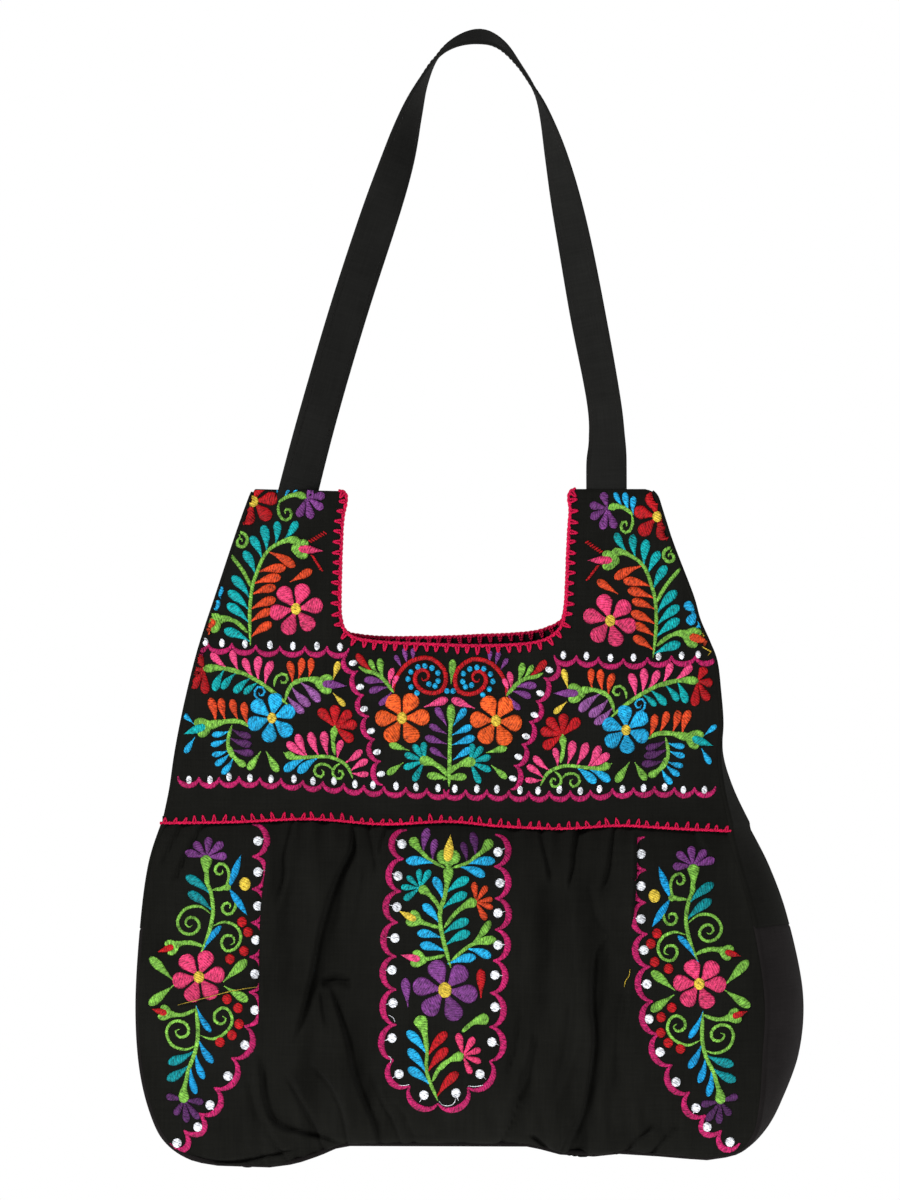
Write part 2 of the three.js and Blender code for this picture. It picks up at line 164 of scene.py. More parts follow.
# Folds of the front pouch, where the cloth on one side steps over the other: height of the step and
# depth of the crease in millimetres, reach and softness in pixels, side of the ridge (1 is the left of
# a route that runs down), and route in pixels.
FOLDS = (
    # step, crease, reach, soft, side, route
    (2.6, 1.6, 14, 1.6, -1, ((296, 812), (290, 838), (285.5, 857), (285.5, 874), (281, 892), (274, 912))),
    (5.6, 2.6, 24, 2.0, 1, ((351, 806), (352.5, 841), (350, 853), (340, 873), (332, 894), (324.5, 918),
                            (318.5, 942), (314, 968), (308, 993), (300, 1022), (290, 1050))),
    (2.0, 1.4, 10, 1.6, -1, ((366, 810), (372, 840), (376, 862), (376, 880))),
    (1.8, 1.0, 10, 1.8, 1, ((392, 812), (381, 842), (375, 868))),
    (2.0, 0.4, 18, 5.0, 1, ((366, 862), (360, 890), (354, 920), (350, 945))),
    (0.8, 4.4, 12, 2.8, 1, ((320, 984), (333, 979.5), (341, 979.5), (354, 984))),
    (4.4, 2.4, 20, 2.0, 1, ((326, 975), (337, 1006), (345, 1031), (351, 1055), (355, 1074), (361, 1092),
                            (369, 1112), (375, 1128), (384, 1165))),
    (1.6, 1.2, 8, 1.5, 1, ((320, 988), (322, 1007), (326, 1030))),
    (3.6, 2.0, 16, 2.4, 1, ((261, 1052), (263, 1084), (266, 1103), (271, 1117), (282, 1126.5), (299, 1132),
                            (324, 1138), (350, 1149))),
    (3.0, 1.4, 14, 2.0, -1, ((284, 1070), (300, 1099), (310, 1118), (319, 1135), (332, 1170))),
    (3.2, 1.4, 14, 2.0, -1, ((308, 1060), (326, 1080), (335, 1094), (344, 1118), (352, 1175))),
    (2.6, 1.2, 12, 1.8, -1, ((368, 1068), (379, 1094), (386, 1108), (395, 1124), (410, 1170))),
    (2.2, 1.0, 12, 1.8, -1, ((392, 1098), (407, 1120), (424, 1170))),
    (2.8, 1.6, 12, 2.0, -1, ((249, 1046), (250, 1078), (255, 1107), (264, 1124), (273, 1139), (284, 1154),
                             (296, 1174))),
    (1.6, 2.6, 9, 1.5, 1, ((166, 1147), (186, 1155), (203, 1159.5), (218, 1161.5), (234, 1161.4),
                           (249, 1159.6), (265, 1156.4), (281, 1152.4), (300, 1147))),
    (2.6, 1.0, 12, 2.4, 1, ((186, 816), (172, 842), (156, 872))),
    (2.8, 1.2, 14, 2.4, 1, ((208, 816), (188, 850), (170, 890))),
    (2.2, 1.4, 12, 1.6, 1, ((536, 812), (543, 848), (547, 864), (551, 886))),
    (2.6, 1.6, 12, 1.6, 1, ((580, 812), (573.5, 849), (572.5, 864), (566, 896))),
    (3.4, 0.6, 24, 4.5, -1, ((562, 872), (567, 905), (570, 935), (573, 983), (572, 1030), (567, 1062),
                             (559, 1088), (548, 1116))),
    (2.4, 1.6, 12, 1.6, 1, ((616, 812), (611, 848), (608, 868), (600, 896))),
    (2.2, 0.8, 12, 3.5, -1, ((592, 884), (597, 912), (603, 923), (616, 934))),
    (5.8, 2.8, 22, 2.0, 1, ((622, 934), (609, 936), (601, 942), (595, 951), (593, 971), (592, 1002),
                            (594.5, 1031), (593.5, 1055), (588.5, 1091), (582.5, 1117), (572, 1141),
                            (562, 1175))),
    (2.4, 1.2, 10, 1.8, 1, ((577, 1112), (566, 1137), (548, 1175))),
    (2.6, 0.6, 18, 4.0, -1, ((628, 978), (622, 1018), (620, 1052), (623, 1100))),
    (2.6, 1.0, 14, 2.4, 1, ((536, 1030), (529, 1062), (525, 1082), (514, 1106))),
    (4.2, 1.8, 16, 2.2, 1, ((527, 1062), (517, 1100), (511, 1120), (503, 1136), (486, 1172))),
    (2.2, 0.8, 14, 2.4, 1, ((521, 1004), (513, 1048), (503, 1080))),
    (2.6, 3.0, 10, 2.2, 1, ((528, 1133), (541, 1143), (547, 1150), (556, 1172))),
    (2.6, 1.2, 14, 2.0, -1, ((660, 1122), (640, 1138), (606, 1172))),
    (2.2, 1.0, 12, 2.0, -1, ((684, 1122), (660, 1144), (636, 1176))),
    (1.8, 0.8, 10, 2.0, -1, ((686, 820), (699, 841), (712, 862))),
    (2.6, 1.0, 12, 2.4, -1, ((728, 824), (738, 868), (748, 912))),
)

# Pleat edges of the front pouch, where the cloth between the panels lies over them.
LAPS = (
    # step, crease, reach, soft, side, route
    (2.8, 0.8, 26, 1.6, -1, ((268, 846), (266.2, 866), (263.6, 886), (261.2, 908), (260, 935), (259.5, 965),
                             (259.3, 1000), (258.8, 1026))),
    (2.8, 0.8, 26, 1.6, 1, ((637, 826), (636.6, 850), (636.4, 875), (635.2, 896), (633, 916), (630, 930))),
)

SIDE_CROSS_ROW = 928
GATHER_SPANS = ((272, 384), (514, 634))
PANEL_SPANS = ((150, 262), (386, 508), (638, 768))


# Curves and numbers

def smoothstep(value, low, high):
    """0 below low, 1 above high, and a soft rise between."""
    share = np.clip((np.asarray(value, dtype=float) - low) / (high - low), 0, 1)
    return share * share * (3 - 2 * share)


def smooth_rows(table, share):
    """Catmull-Rom values through the rows of a table, at shares from 0 to 1 of its rows."""
    rows = np.asarray(table, dtype=float)
    last = len(rows) - 1
    spot = np.clip(np.asarray(share, dtype=float), 0, 1) * last
    low = np.minimum(spot.astype(int), last - 1)
    t = (spot - low)[..., None]
    before = rows[np.maximum(low - 1, 0)]
    start = rows[low]
    end = rows[low + 1]
    after = rows[np.minimum(low + 2, last)]
    cubic = 3 * (start - end) + after - before
    square = 2 * before - 5 * start + 4 * end - after
    return start + 0.5 * t * ((end - before) + t * (square + t * cubic))


def look_up(table, value):
    """The second column of a table, at values of its first."""
    first, second = np.transpose(table)
    return np.interp(value, first, second)


def run_lengths(points):
    """Length of a polyline from its start to each of its points."""
    steps = np.linalg.norm(np.diff(points, axis=0), axis=1)
    return np.concatenate([[0], np.cumsum(steps)])


def at_lengths(dense, spots):
    """Points of a dense polyline at shares from 0 to 1 of its length."""
    length = run_lengths(dense)
    wanted = np.asarray(spots) * length[-1]
    return np.stack([np.interp(wanted, length, column) for column in dense.T], axis=-1)


def dense_path(points, per_row=14):
    """A smooth dense polyline through a few points."""
    return smooth_rows(points, np.linspace(0, 1, per_row * len(points)))


def path_length(dense):
    """Length of a polyline."""
    return float(np.linalg.norm(np.diff(dense, axis=0), axis=1).sum())


NOISE_WAVES = 6
NOISE_STRETCH = (0.7, 1.5)


def soft_noise(x, y, wavelength, seed):
    """Smooth noise of about -1 to 1, the sum of a few waves in random directions."""
    rng = np.random.default_rng(SEED * 1000 + seed)
    total = np.zeros(np.broadcast(x, y).shape)
    for _ in range(NOISE_WAVES):
        angle = rng.uniform(0, 2 * math.pi)
        stretch = rng.uniform(*NOISE_STRETCH)
        phase = rng.uniform(0, 2 * math.pi)
        turn = 2 * math.pi / (wavelength * stretch)
        total = total + np.sin((x * math.cos(angle) + y * math.sin(angle)) * turn + phase)
    return total / math.sqrt(2 * NOISE_WAVES)


FINE_STOPS = (0, 0.12, 0.3, 0.58, 1.0)


def fine_ends(count, fine, start=True, end=True):
    """Stops from 0 to 1 that come close together at one or both ends."""
    near = np.array(FINE_STOPS) * fine
    low = near if start else np.array([0.0])
    high = 1 - near[::-1] if end else np.array([1.0])
    middle = np.linspace(low[-1], high[0], count + 1)
    return np.concatenate([low[:-1], middle, high[1:]])


def unit(vectors):
    """Vectors of length one."""
    return vectors / np.maximum(np.linalg.norm(vectors, axis=-1, keepdims=True), 1e-9)


def turned(headings):
    """Directions in the picture, turned by a right angle."""
    return np.stack([-headings[..., 1], headings[..., 0]], axis=-1)


def facing_away(spots, headings, middle):
    """Unit directions across the headings of a line, on the side away from a middle point."""
    out = unit(turned(headings))
    return out * np.sign(((spots - np.asarray(middle)) * out).sum(axis=-1, keepdims=True))


def place(pixel_x, pixel_y, depth=0.0):
    """World points for photograph pixels seen at a depth."""
    scale = PIXEL * (1 + np.asarray(depth) / CAMERA_DISTANCE)
    x = VIEW_X + (pixel_x - FRAME_WIDTH / 2) * scale
    z = VIEW_Z - (pixel_y - FRAME_HEIGHT / 2) * scale
    return np.stack(np.broadcast_arrays(x, depth, z), axis=-1)


def linear(red, green, blue):
    """Linear colour from screen values of 0 to 255."""
    def one(value):
        share = value / 255
        if share <= 0.04045:
            return share / 12.92
        return ((share + 0.055) / 1.055) ** 2.4
    return (one(red), one(green), one(blue))


YOKE_DENSE = dense_path(YOKE_ROWS, 24)
WAIST_DENSE = dense_path(WAIST_LINE)


# User settings

def length_setting(title, words, default):
    """A length property in metres."""
    return bpy.props.FloatProperty(name=title, description=words, default=default, min=0.0,
                                   unit="LENGTH", precision=4)


def colour_setting(title, words, red, green, blue):
    """A colour property from screen values."""
    return bpy.props.FloatVectorProperty(name=title, description=words, subtype="COLOR", size=3,
                                         min=0.0, max=1.0, default=linear(red, green, blue))


class BagSizes(bpy.types.PropertyGroup):
    """Sizes of the cloth, the yarn and the thread."""
    strap_width: length_setting("Strap width", "Width of the shoulder strap", 0.026)
    strap_thickness: length_setting("Strap thickness", "Thickness of the folded strap", 0.0024)
    cloth: length_setting("Cloth", "Thickness of the cotton", 0.0012)
    seam_roll: length_setting("Seam roll", "How far a panel turns into its seam", 0.0017)
    gusset_swell: length_setting("Gusset swell", "How far the sides bulge outwards", 0.006)
    relief: length_setting("Stitch relief", "Height of the embroidery over the cloth", 0.0011)
    yarn: length_setting("Neck yarn", "Radius of one strand of the neck border", 0.00085)
    waist_yarn: length_setting("Waist yarn", "Radius of one strand of the waist border", 0.00066)
    tooth: length_setting("Neck tooth", "Length of a stitch of the neck border", 0.0052)
    waist_tooth: length_setting("Waist tooth", "Length of a stitch of the waist border", 0.0046)


class BagColours(bpy.types.PropertyGroup):
    """Colours of the cloth, the yarn and the thread."""
    black: colour_setting("Black cotton", "Panels", 22, 22, 20)
    grey: colour_setting("Grey cotton", "Lower gusset", 28, 26, 26)
    strap: colour_setting("Strap cotton", "Shoulder strap", 28, 28, 27)
    yarn: colour_setting("Border yarn", "Crochet border", 200, 22, 70)
    magenta: colour_setting("Magenta thread", "Scalloped lines", 160, 22, 83)
    green: colour_setting("Green thread", "Stems and calyxes", 106, 159, 60)
    teal: colour_setting("Teal thread", "Cool leaves", 5, 147, 150)
    sea: colour_setting("Sea thread", "Leaves of the side sprays", 4, 121, 128)
    blue: colour_setting("Blue thread", "Flowers and leaves", 26, 150, 198)
    azure: colour_setting("Azure thread", "Blue leaves of the side sprays", 14, 132, 186)
    purple: colour_setting("Purple thread", "Flowers and leaves", 106, 51, 115)
    lilac: colour_setting("Lilac thread", "Light purple leaves", 130, 76, 136)
    plum: colour_setting("Plum thread", "Dark leaves", 72, 32, 80)
    pink: colour_setting("Pink thread", "Flowers", 198, 52, 97)
    rose: colour_setting("Rose thread", "Pink leaves", 210, 65, 116)
    orange: colour_setting("Orange thread", "Leaves", 191, 62, 28)
    tangerine: colour_setting("Tangerine thread", "Orange flowers", 212, 83, 31)
    red: colour_setting("Red thread", "Flowers and berries", 160, 14, 22)
    yellow: colour_setting("Yellow thread", "Flower centres", 202, 174, 58)
    white: colour_setting("White thread", "Dots", 218, 221, 227)


def sizes():
    """The scene's size settings."""
    return bpy.context.scene.bag_sizes


def colours():
    """The scene's colour settings."""
    return bpy.context.scene.bag_colours


# Materials

class Value:
    """A shader value whose operators add Math nodes."""

    def __init__(self, tree, socket):
        self.tree = tree
        self.socket = socket

    def math(self, operation, first, second=0.0):
        node = self.tree.nodes.new("ShaderNodeMath")
        node.operation = operation
        for index, value in enumerate((first, second)):
            if isinstance(value, Value):
                self.tree.links.new(value.socket, node.inputs[index])
            else:
                node.inputs[index].default_value = value
        return Value(self.tree, node.outputs[0])

    def __add__(self, other):
        return self.math("ADD", self, other)

    __radd__ = __add__

    def __sub__(self, other):
        return self.math("SUBTRACT", self, other)

    def __rsub__(self, other):
        return self.math("SUBTRACT", other, self)

    def __mul__(self, other):
        return self.math("MULTIPLY", self, other)

    __rmul__ = __mul__

    def sine(self):
        return self.math("SINE", self)


COARSE_DETAIL = 2.0
FINE_DETAIL = 3.0
NOISE_ROUGHNESS = 0.55


class Finish:
    """A material whose nodes are added one by one and end in a principled shader."""

    def __init__(self, name):
        self.material = bpy.data.materials.new(name)
        self.material.use_nodes = True
        self.tree = self.material.node_tree
        self.tree.nodes.clear()

    def node(self, kind, settings=None, inputs=None):
        """Adds a node, its settings first and then the values or links of its sockets."""
        node = self.tree.nodes.new(kind)
        for key, value in (settings or {}).items():
            setattr(node, key, value)
        for key, value in (inputs or {}).items():
            if isinstance(value, Value):
                self.tree.links.new(value.socket, node.inputs[key])
            else:
                node.inputs[key].default_value = value
        return Value(self.tree, node.outputs[0])

    def map_place(self, layer):
        """The two coordinates of a UV map, in millimetres."""
        place_on_map = self.node("ShaderNodeUVMap", {"uv_map": layer})
        along = self.node("ShaderNodeSeparateXYZ", None, {0: place_on_map})
        across = Value(self.tree, along.socket.node.outputs[1])
        return along, across

    def noise(self, along, across, wide, tall, detail=COARSE_DETAIL):
        """Noise whose cells are wide by tall millimetres."""
        spot = self.node("ShaderNodeCombineXYZ", None, {0: along * (1 / wide), 1: across * (1 / tall)})
        return self.node("ShaderNodeTexNoise", None,
                         {"Vector": spot, "Scale": 1.0, "Detail": detail, "Roughness": NOISE_ROUGHNESS})

    def shade(self, colour, amount):
        """A colour or attribute made lighter or darker by an amount."""
        return self.node("ShaderNodeVectorMath", {"operation": "SCALE"},
                         {0: colour, "Scale": amount})

    def bump(self, height, distance, strength):
        """A normal from a height."""
        return self.node("ShaderNodeBump", None,
                         {"Height": height, "Distance": distance, "Strength": strength})

    def surface(self, inputs):
        """The principled shader and the output."""
        shader = self.node("ShaderNodeBsdfPrincipled", None, inputs)
        output = self.tree.nodes.new("ShaderNodeOutputMaterial")
        self.tree.links.new(shader.socket, output.inputs["Surface"])
        return self.material


# Threads and patches, with their sizes along and across in millimetres, and bump depths in metres.
WEAVE_PERIOD = 0.75
COTTON_SLUB = (1.2, 26)
COTTON_PATCH = (38, 52)
COTTON_BUMP = 0.00025
THREAD_PERIOD = 1.5
THREAD_STRAND = (1.2, 2.4)
THREAD_MOTTLE = (3.6, 3.6)
THREAD_BUMP = 0.0003
PLY_PERIOD = 1.5
YARN_FIBRE = (0.6, 0.3)
YARN_PATCH = (9, 4)
YARN_BUMP = 0.0003


def cotton_finish(name, colour):
    """Plain-woven cotton with uneven threads, in one colour."""
    finish = Finish(name)
    along, across = finish.map_place("weave")
    turn = 2 * math.pi / WEAVE_PERIOD
    weave = (along * turn).sine() * (across * turn).sine()
    warp = finish.noise(along, across, *COTTON_SLUB)
    weft = finish.noise(along, across, *COTTON_SLUB[::-1])
    patch = finish.noise(along, across, *COTTON_PATCH)
    slub = warp * 0.5 + weft * 0.5
    tone = 0.3 + slub * 0.8 + patch * 0.6 + weave * 0.05
    height = weave * 0.3 + slub * 1.2
    return finish.surface({
        "Base Color": finish.shade(tuple(colour), tone),
        "Roughness": 0.78 + slub * 0.25,
        "Normal": finish.bump(height, COTTON_BUMP, 0.36),
        "Specular IOR Level": 0.0,
        "Sheen Weight": 0.022,
        "Sheen Roughness": 0.35,
    })


def satin_finish(name):
    """Embroidery thread. Its colour, with the shade painted into each strip, rides in an attribute, and its
    ridges follow the stitches.
    """
    finish = Finish(name)
    along, across = finish.map_place("weave")
    thread = finish.node("ShaderNodeAttribute", {"attribute_name": "thread"})
    ridge = (along * (2 * math.pi / THREAD_PERIOD)).sine()
    strand = finish.noise(along, across, *THREAD_STRAND, FINE_DETAIL)
    mottle = finish.noise(along, across, *THREAD_MOTTLE)
    tone = strand * 3.3 + mottle * 1.3 + ridge * 0.16 - 1.3
    return finish.surface({
        "Base Color": finish.shade(thread, tone),
        "Roughness": 0.42 + strand * 0.3,
        "Normal": finish.bump(ridge * 0.7 + strand * 1.2, THREAD_BUMP, 0.7),
        "Specular IOR Level": 0.14,
    })


def yarn_finish(name, colour):
    """Twisted crochet yarn."""
    finish = Finish(name)
    along, around = finish.map_place("weave")
    ply = ((along * (1 / PLY_PERIOD) + around) * (2 * math.pi)).sine()
    fibre = finish.noise(along, around, *YARN_FIBRE, FINE_DETAIL)
    patch = finish.noise(along, around, *YARN_PATCH)
    tone = 0.1 + fibre * 0.9 + patch * 0.9 + ply * 0.15
    return finish.surface({
        "Base Color": finish.shade(tuple(colour), tone),
        "Roughness": 0.6 + fibre * 0.3,
        "Normal": finish.bump(ply * 0.6 + fibre, YARN_BUMP, 0.8),
        "Specular IOR Level": 0.08,
    })


COTTONS = {"black_cotton_weave": "black", "grey_cotton_weave": "grey", "strap_cotton_weave": "strap"}


def named_finish(name):
    """The material of that name, made once."""
    known = bpy.data.materials.get(name)
    if known:
        return known
    if name in COTTONS:
        return cotton_finish(name, getattr(colours(), COTTONS[name]))
    if name == "crochet_yarn":
        return yarn_finish(name, colours().yarn)
    return satin_finish(name)


# Mesh helpers

MERGE_DISTANCE = 1e-6
SLIVER = 2e-6
DEPTH_AXIS = np.array((0.0, 1.0, 0.0))


def add_piece(name, mesh, finish, nodes=()):
    """Links a piece that rides on the bag and stands for the CAD nodes that it replaces."""
    for polygon in mesh.polygons:
        polygon.use_smooth = True
    mesh.materials.append(named_finish(finish))
    piece = bpy.data.objects.new(name, mesh)
    bpy.context.scene.collection.objects.link(piece)
    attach(piece, "root")
    if nodes:
        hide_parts(*nodes)
    return piece


def grid_mesh(name, points, weave, flip=False):
    """A sheet whose grid vertices are moved to rows and columns of points, with its weave map."""
    rows, columns = points.shape[:2]
    bm = bmesh.new()
    bmesh.ops.create_grid(bm, x_segments=columns - 1, y_segments=rows - 1, size=1.0)
    mesh = bpy.data.meshes.new(name)
    bm.to_mesh(mesh)
    bm.free()
    flat = np.empty(len(mesh.vertices) * 3)
    mesh.vertices.foreach_get("co", flat)
    spots = (flat.reshape(-1, 3) + 1) / 2
    column = np.rint(spots[:, 0] * (columns - 1)).astype(int)
    row = np.rint(spots[:, 1] * (rows - 1)).astype(int)
    mesh.vertices.foreach_set("co", points[row, column].ravel())
    corners = np.empty(len(mesh.loops), dtype=int)
    mesh.loops.foreach_get("vertex_index", corners)
    layer = mesh.uv_layers.new(name="weave")
    layer.data.foreach_set("uv", weave[row, column][corners].ravel())
    if flip:
        mesh.flip_normals()
    mesh.update()
    return mesh


def close_mesh(mesh):
    """Merges a rolled-up grid along its seam, caps its ends and turns its faces outwards."""
    bm = bmesh.new()
    bm.from_mesh(mesh)
    bmesh.ops.remove_doubles(bm, verts=bm.verts, dist=MERGE_DISTANCE)
    bmesh.ops.holes_fill(bm, edges=[edge for edge in bm.edges if edge.is_boundary], sides=0)
    bmesh.ops.recalc_face_normals(bm, faces=bm.faces)
    bm.to_mesh(mesh)
    bm.free()


def sew(name, points, weave, flip, finish="black_cotton_weave"):
    """A sheet of cotton in place of a CAD node, with its thickness on the inner side."""
    mesh = grid_mesh(f"{name}_cloth", points, weave, flip)
    piece = add_piece(f"{name}_cloth", mesh, finish, [name])
    wall = piece.modifiers.new("cloth", "SOLIDIFY")
    wall.thickness = sizes().cloth
    wall.offset = -1.0
    return piece


class Strips:
    """Gathers many small closed strips into one mesh."""

    def __init__(self):
        self.points = []
        self.faces = []
        self.weave = []
        self.thread = []
        self.count = 0

    def add(self, rings, weave, thread=(1, 1, 1)):
        """Adds a closed strip from its rings of points."""
        rows, around = rings.shape[:2]
        index = self.count + np.arange(rows * around).reshape(rows, around)
        turned = np.roll(index, -1, axis=1)
        sides = np.stack([index[:-1], index[1:], turned[1:], turned[:-1]], axis=-1)
        self.faces.extend(sides.reshape(-1, 4).tolist())
        self.faces.append(index[0].tolist())
        self.faces.append(index[-1][::-1].tolist())
        self.points.append(rings.reshape(-1, 3))
        self.weave.append(weave.reshape(-1, 2))
        tint = np.ones((rows, around, 4))
        tint[..., :3] = thread
        self.thread.append(tint.reshape(-1, 4))
        self.count += rows * around

    def mesh(self, name):
        """The joined mesh, with its weave map and thread colours, which on the embroidery carry painted
        shade.
        """
        mesh = bpy.data.meshes.new(name)
        mesh.from_pydata(np.concatenate(self.points).tolist(), [], self.faces)
        corners = np.empty(len(mesh.loops), dtype=int)
        mesh.loops.foreach_get("vertex_index", corners)
        layer = mesh.uv_layers.new(name="weave")
        layer.data.foreach_set("uv", np.concatenate(self.weave)[corners].ravel())
        tint = mesh.color_attributes.new("thread", "FLOAT_COLOR", "POINT")
        tint.data.foreach_set("color", np.concatenate(self.thread).ravel())
        bm = bmesh.new()
        bm.from_mesh(mesh)
        bmesh.ops.dissolve_degenerate(bm, edges=bm.edges, dist=SLIVER)
        bmesh.ops.recalc_face_normals(bm, faces=bm.faces)
        bm.to_mesh(mesh)
        bm.free()
        return mesh


def path_frame(points):
    """Side and front directions along a path that lies near a picture plane."""
    tangent = unit(np.gradient(points, axis=0))
    side = unit(np.cross(tangent, DEPTH_AXIS))
    return side, np.cross(side, tangent)


def tube(strips, points, radius, sides=6, thread=(1, 1, 1)):
    """Adds a round strand along a path, with a radius for each point."""
    side, front = path_frame(points)
    angle = np.linspace(0, 2 * math.pi, sides, endpoint=False)
    ring = side[:, None] * np.cos(angle)[:, None] + front[:, None] * np.sin(angle)[:, None]
    rings = points[:, None] + ring * np.broadcast_to(radius, len(points))[:, None, None]
    along = run_lengths(points) / MM
    weave = np.stack(np.broadcast_arrays(along[:, None], angle / (2 * math.pi)), axis=-1)
    strips.add(rings, weave, thread)


# Cloth shapes

def waist_row(px):
    """Row of the waist line at a column."""
    return look_up(WAIST_DENSE, px)


def yoke_values(row):
    """Left, right, depth, bulge and shift of the yoke at a row."""
    return [np.interp(row, YOKE_DENSE[:, 0], YOKE_DENSE[:, column]) for column in range(1, 6)]


# Relief of the yoke, with its reaches and rows in pixels.
YOKE_HEM_REACH = 16
SHOULDER_ROWS = (491, 500)
STRAP_SOFT = 8
YOKE_PUCKERS = (
    # height in millimetres, wavelength in pixels, seed
    (0.35, 30, 1),
    (0.7, 95, 2),
)


def yoke_half_depth(px, py):
    """How far the yoke's face lies from the middle plane, in metres."""
    left, right, depth, bulge, _ = yoke_values(py)
    across = np.clip((2 * px - left - right) / (right - left), -1, 1)
    crown = 1 - np.abs(across) ** CROWN_POWER
    hem = 1 - smoothstep(waist_row(px) - py, 0, YOKE_HEM_REACH)
    pucker = sum(height * soft_noise(px, py, wavelength, seed) for height, wavelength, seed in YOKE_PUCKERS)
    top = 1 - smoothstep(py, *SHOULDER_ROWS)
    strap = sum(1 - smoothstep(np.abs(px - column), half, half + STRAP_SOFT)
                for column, half in STRAP_COLUMNS)
    return (depth + (bulge + hem) * crown + pucker * crown * (1 - top) + strap * top) * MM


def pouch_values(u, v):
    """Pixels, half depth and back shift in millimetres at shares across and down the pouch."""
    rows = smooth_rows(POUCH_ROWS, v)
    edge_row, middle_row, left, right, depth, bulge, shift = np.moveaxis(rows, -1, 0)
    column, drop = np.transpose(HEM_DROPS)
    lobe = np.interp((u + 1) / 2, (column - column[0]) / (column[-1] - column[0]), drop) / drop[0]
    px = (left + right) / 2 + u * (right - left) / 2
    py = middle_row + (edge_row - middle_row) * lobe
    fade = 1 - smoothstep(py, WAIST_ROW, WAIST_ROW + WAIST_FADE)
    py = py + (waist_row(px) - WAIST_ROW) * fade
    crown = 1 - np.abs(u) ** CROWN_POWER
    return px, py, depth + bulge * crown, shift


# Folds: stops along a route, share of a step above the cloth, and how its ends and its crease fade.
ROUTE_STOPS = 30
RIDGE_SHARE = 0.55
FOLD_HEIGHT = 1.6
FOLD_START = 0.18
FOLD_END = 0.24
CREASE_WIDTH = 1.2


def route_distance(px, py, route):
    """Distance of pixels from a route, share along it, and the side that they lie on."""
    dense = at_lengths(dense_path(route), np.linspace(0, 1, ROUTE_STOPS))
    step = np.diff(dense, axis=0)
    offset_x = px[..., None] - dense[:-1, 0]
    offset_y = py[..., None] - dense[:-1, 1]
    along = np.clip((offset_x * step[:, 0] + offset_y * step[:, 1]) / (step ** 2).sum(axis=1), 0, 1)
    away_x = offset_x - along * step[:, 0]
    away_y = offset_y - along * step[:, 1]
    squared = away_x ** 2 + away_y ** 2
    near = squared.argmin(axis=-1)[..., None]
    side = step[:, 1] * offset_x - step[:, 0] * offset_y
    share = (near[..., 0] + np.take_along_axis(along, near, -1)[..., 0]) / (ROUTE_STOPS - 1)
    away = np.sqrt(np.take_along_axis(squared, near, -1)[..., 0])
    return away, share, np.sign(np.take_along_axis(side, near, -1)[..., 0])


def fold_relief(px, py, folds):
    """Height of the folds and pleats over the smooth pouch, in millimetres."""
    relief = np.zeros(px.shape)
    for step, crease, reach, soft, ridge_side, route in folds:
        away, share, side = route_distance(px, py, route)
        ends = smoothstep(share, 0, FOLD_START) * smoothstep(1 - share, 0, FOLD_END)
        signed = -away * side * ridge_side
        top = smoothstep(signed, -soft, soft)
        fade = np.exp(-away / reach)
        line = np.exp(-((away / (CREASE_WIDTH * soft)) ** 2))
        relief += ends * FOLD_HEIGHT * (step * fade * (top - 1 + RIDGE_SHARE) - crease * line)
    return relief


def within(px, spans, soft):
    """1 inside the spans of columns, 0 outside, with soft ends."""
    return sum(smoothstep(px, low - soft, low + soft / 2) * (1 - smoothstep(px, high - soft / 2, high + soft))
               for low, high in spans)


# Ripples of the pouch, with rows, columns and softness in pixels.
RIPPLES = (
    # name, share of the rows that counts, wavelength in pixels, height in millimetres
    ("waist", 0.12, 17, 1.6),
    ("hem", 0.2, 19, 2.0),
    ("broad", 0.45, 88, 1.6),
    ("tubes", 0.16, 40, 2.4),
    ("crumple", 0.6, 22, 0.5),
)
GATHER_SOFT = 14
PANEL_SOFT = 10
PANEL_CALM = 0.8
EVEN_RIPPLE = 0.35
LOOSE_RIPPLE = 0.9
WAIST_REACH = 24
HEM_ROWS = (1070, 1136)
HEM_MIDDLE = 455
HEM_HALF = (190, 260)
DOWN_ROWS = (10, 70)


def gather_relief(px, py, seed):
    """Ripples under the waist seam, over the bottom seam and down the loose cloth, in millimetres."""
    below = py - waist_row(px)
    wave = {name: height * soft_noise(px, py * share, wavelength, seed + index)
            for index, (name, share, wavelength, height) in enumerate(RIPPLES)}
    waist = EVEN_RIPPLE + LOOSE_RIPPLE * within(px, GATHER_SPANS, GATHER_SOFT)
    waist = waist * np.exp(-np.maximum(below, 0) / WAIST_REACH)
    hem = smoothstep(py, *HEM_ROWS) * (1 - smoothstep(np.abs(px - HEM_MIDDLE), *HEM_HALF))
    down = smoothstep(below, *DOWN_ROWS)
    calm = 1 - PANEL_CALM * within(px, PANEL_SPANS, PANEL_SOFT)
    return (waist * wave["waist"] + hem * wave["hem"]
            + down * (wave["broad"] + calm * (wave["tubes"] + wave["crumple"])))


# The seam, in stops along its parts, and the most that a roll takes of the gusset's width.
SEAM_STEP = 0.6 * MM
YOKE_SEAM_STOPS = 160
SIDE_SEAM_STOPS = 200
HEM_SEAM_STOPS = 260
ROLL_SHARE = 0.3
SEAM_SMOOTHING = 10


